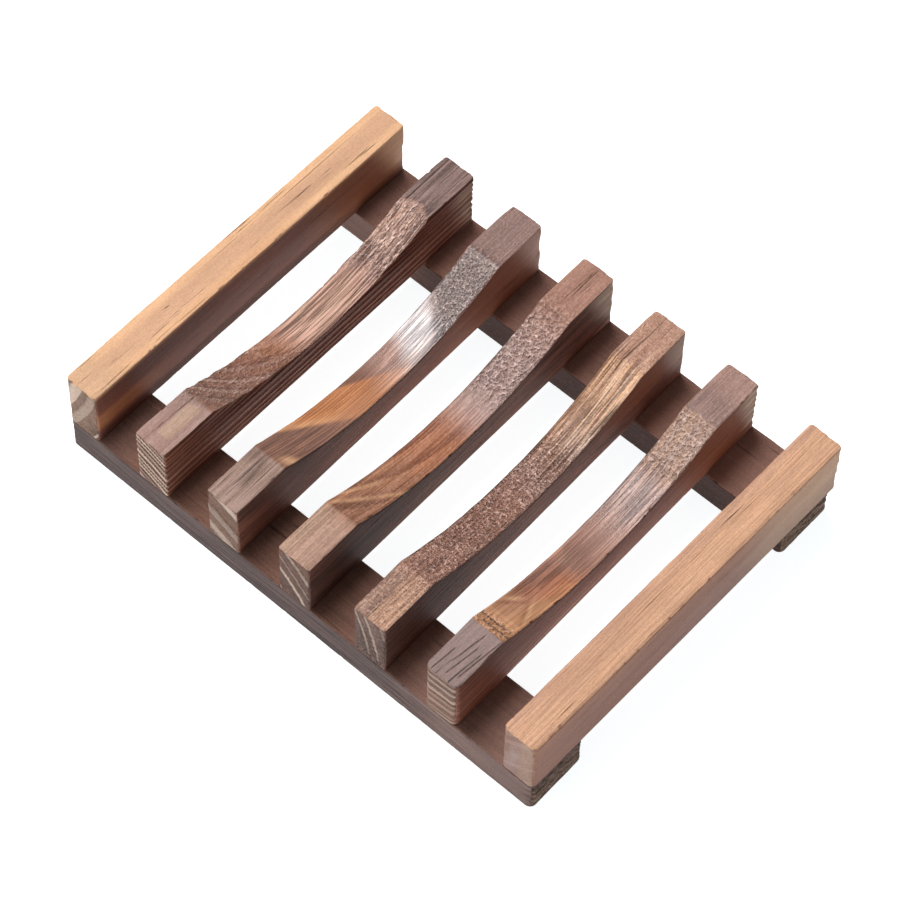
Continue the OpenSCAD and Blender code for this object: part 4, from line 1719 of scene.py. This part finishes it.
def drawn_steel(name):
    """Drawn steel wire: bright, with fine lines along it and freckles of brown bloom."""
    material = bpy.data.materials.new(name)
    material.use_nodes = True
    t = material.node_tree
    shader = t.nodes["Principled BSDF"]
    place = add(t, "ShaderNodeTexCoord", out="Object")
    place = add(t, VECTORS, {0: place, 3: 1 / MM}, operation="SCALE")
    lines = add(t, VECTORS, (place, WIRE_LINES), operation="MULTIPLY")
    lines = add(t, NOISE, {"Vector": lines, "Scale": 1.0, "Detail": 2.0})
    bloom = {"Vector": place, "Scale": BLOOM_PER_MM, "Detail": 4.0, "Roughness": 0.65}
    bloom = add(t, NOISE, bloom)
    bloom = add(t, RANGES, (bloom, *BLOOM_LIMITS, 0.0, BLOOM_COVER))
    greys = {0: lines, 6: linear("#8F8B84"), 7: linear("#BDB9B2")}
    bright = add(t, MIX, greys, out=2, data_type="RGBA")
    colour = add(t, MIX, {0: bloom, 6: bright, 7: linear("#6B5444")}, out=2, data_type="RGBA")
    rough = add(t, RANGES, (lines, 0.3, 0.7, *STEEL_ROUGHNESS))
    rough = add(t, MATHS, (bloom, BLOOM_ROUGHNESS, rough), operation="MULTIPLY_ADD")
    bump = add(t, "ShaderNodeBump", {"Height": lines, "Distance": LINE_DEPTH * MM})
    shader.inputs["Metallic"].default_value = 1.0
    for label, value in (("Base Color", colour), ("Roughness", rough), ("Normal", bump)):
        t.links.new(value, shader.inputs[label])
    return material


STEEL = drawn_steel("steel_wire_drawn_and_weathered")
for node in BRADS:
    for slot in frame["nodes"][node].material_slots:
        slot.material = STEEL
print("brads of", STEEL.name)

# %% [markdown]
# ## Floor
# The dish stands on plain white paper. The paper glows a little of its own, which does what a light
# table does in a studio: it keeps the floor near white while the shadows on it stay soft.

# %% Lay the floor
FLOOR_SIZE = 3.0
PAPER_ROUGHNESS = 0.9
PAPER_GLOW = 0.91
scene = bpy.context.scene
scene.view_settings.view_transform = "Standard"
half = FLOOR_SIZE / 2
floor_mesh = bpy.data.meshes.new("floor")
corners = [(-half, -half, 0), (half, -half, 0), (half, half, 0), (-half, half, 0)]
floor_mesh.from_pydata(corners, [], [(0, 1, 2, 3)])
floor = bpy.data.objects.new("floor", floor_mesh)
scene.collection.objects.link(floor)
floor.location.z = cad_low.z
floor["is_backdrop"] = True

paper = bpy.data.materials.new("matt_white_paper")
paper.use_nodes = True
shader = paper.node_tree.nodes["Principled BSDF"]
shader.inputs["Base Color"].default_value = linear("#C4C4C4")
shader.inputs["Roughness"].default_value = PAPER_ROUGHNESS
shader.inputs["Emission Color"].default_value = linear("#F8FDFF")
shader.inputs["Emission Strength"].default_value = PAPER_GLOW
floor_mesh.materials.append(paper)
print("floor at", round(floor.location.z / MM, 3), "mm")

# %% [markdown]
# ## Light
# Soft studio light: a faint even sky, a large softbox almost overhead and a little to the left, and
# a weak one in front, so that the front ends aren't black.

# %% Set the lights
SKY_STRENGTH = 0.2
world = bpy.data.worlds.new("studio")
scene.world = world
world.use_nodes = True
sky = world.node_tree.nodes["Background"].inputs
sky["Color"].default_value = linear("#FFFFFF")
sky["Strength"].default_value = SKY_STRENGTH


def softbox(name, direction, distance, size, watts):
    """A square lamp in a direction from the dish, at a distance and with a side in metres."""
    lamp = bpy.data.lights.new(name, "AREA")
    lamp.shape = "SQUARE"
    lamp.size = size
    lamp.energy = watts
    holder = bpy.data.objects.new(name, lamp)
    scene.collection.objects.link(holder)
    towards = Vector(direction).normalized()
    holder.location = towards * distance
    holder.rotation_euler = (-towards).to_track_quat("-Z", "Y").to_euler()
    print(name, "of", watts, "W")


softbox("key", (-0.34, 0.07, 0.94), 0.9, 0.4, 8.5)
softbox("front_fill", (-0.2, -0.9, 0.5), 1.0, 0.6, 2.0)

# %% [markdown]
# ## Hand over to the frame
# Each piece rides on the one body and stands in for its CAD node, which is hidden. The two boxes
# are written down, so that the sizes can be compared.

# %% Hand over to the frame
for node, piece in pieces.items():
    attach(piece, ROOT)
    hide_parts(node)

low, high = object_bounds()
print("visual box in mm:", [round(v / MM, 2) for v in high - low])
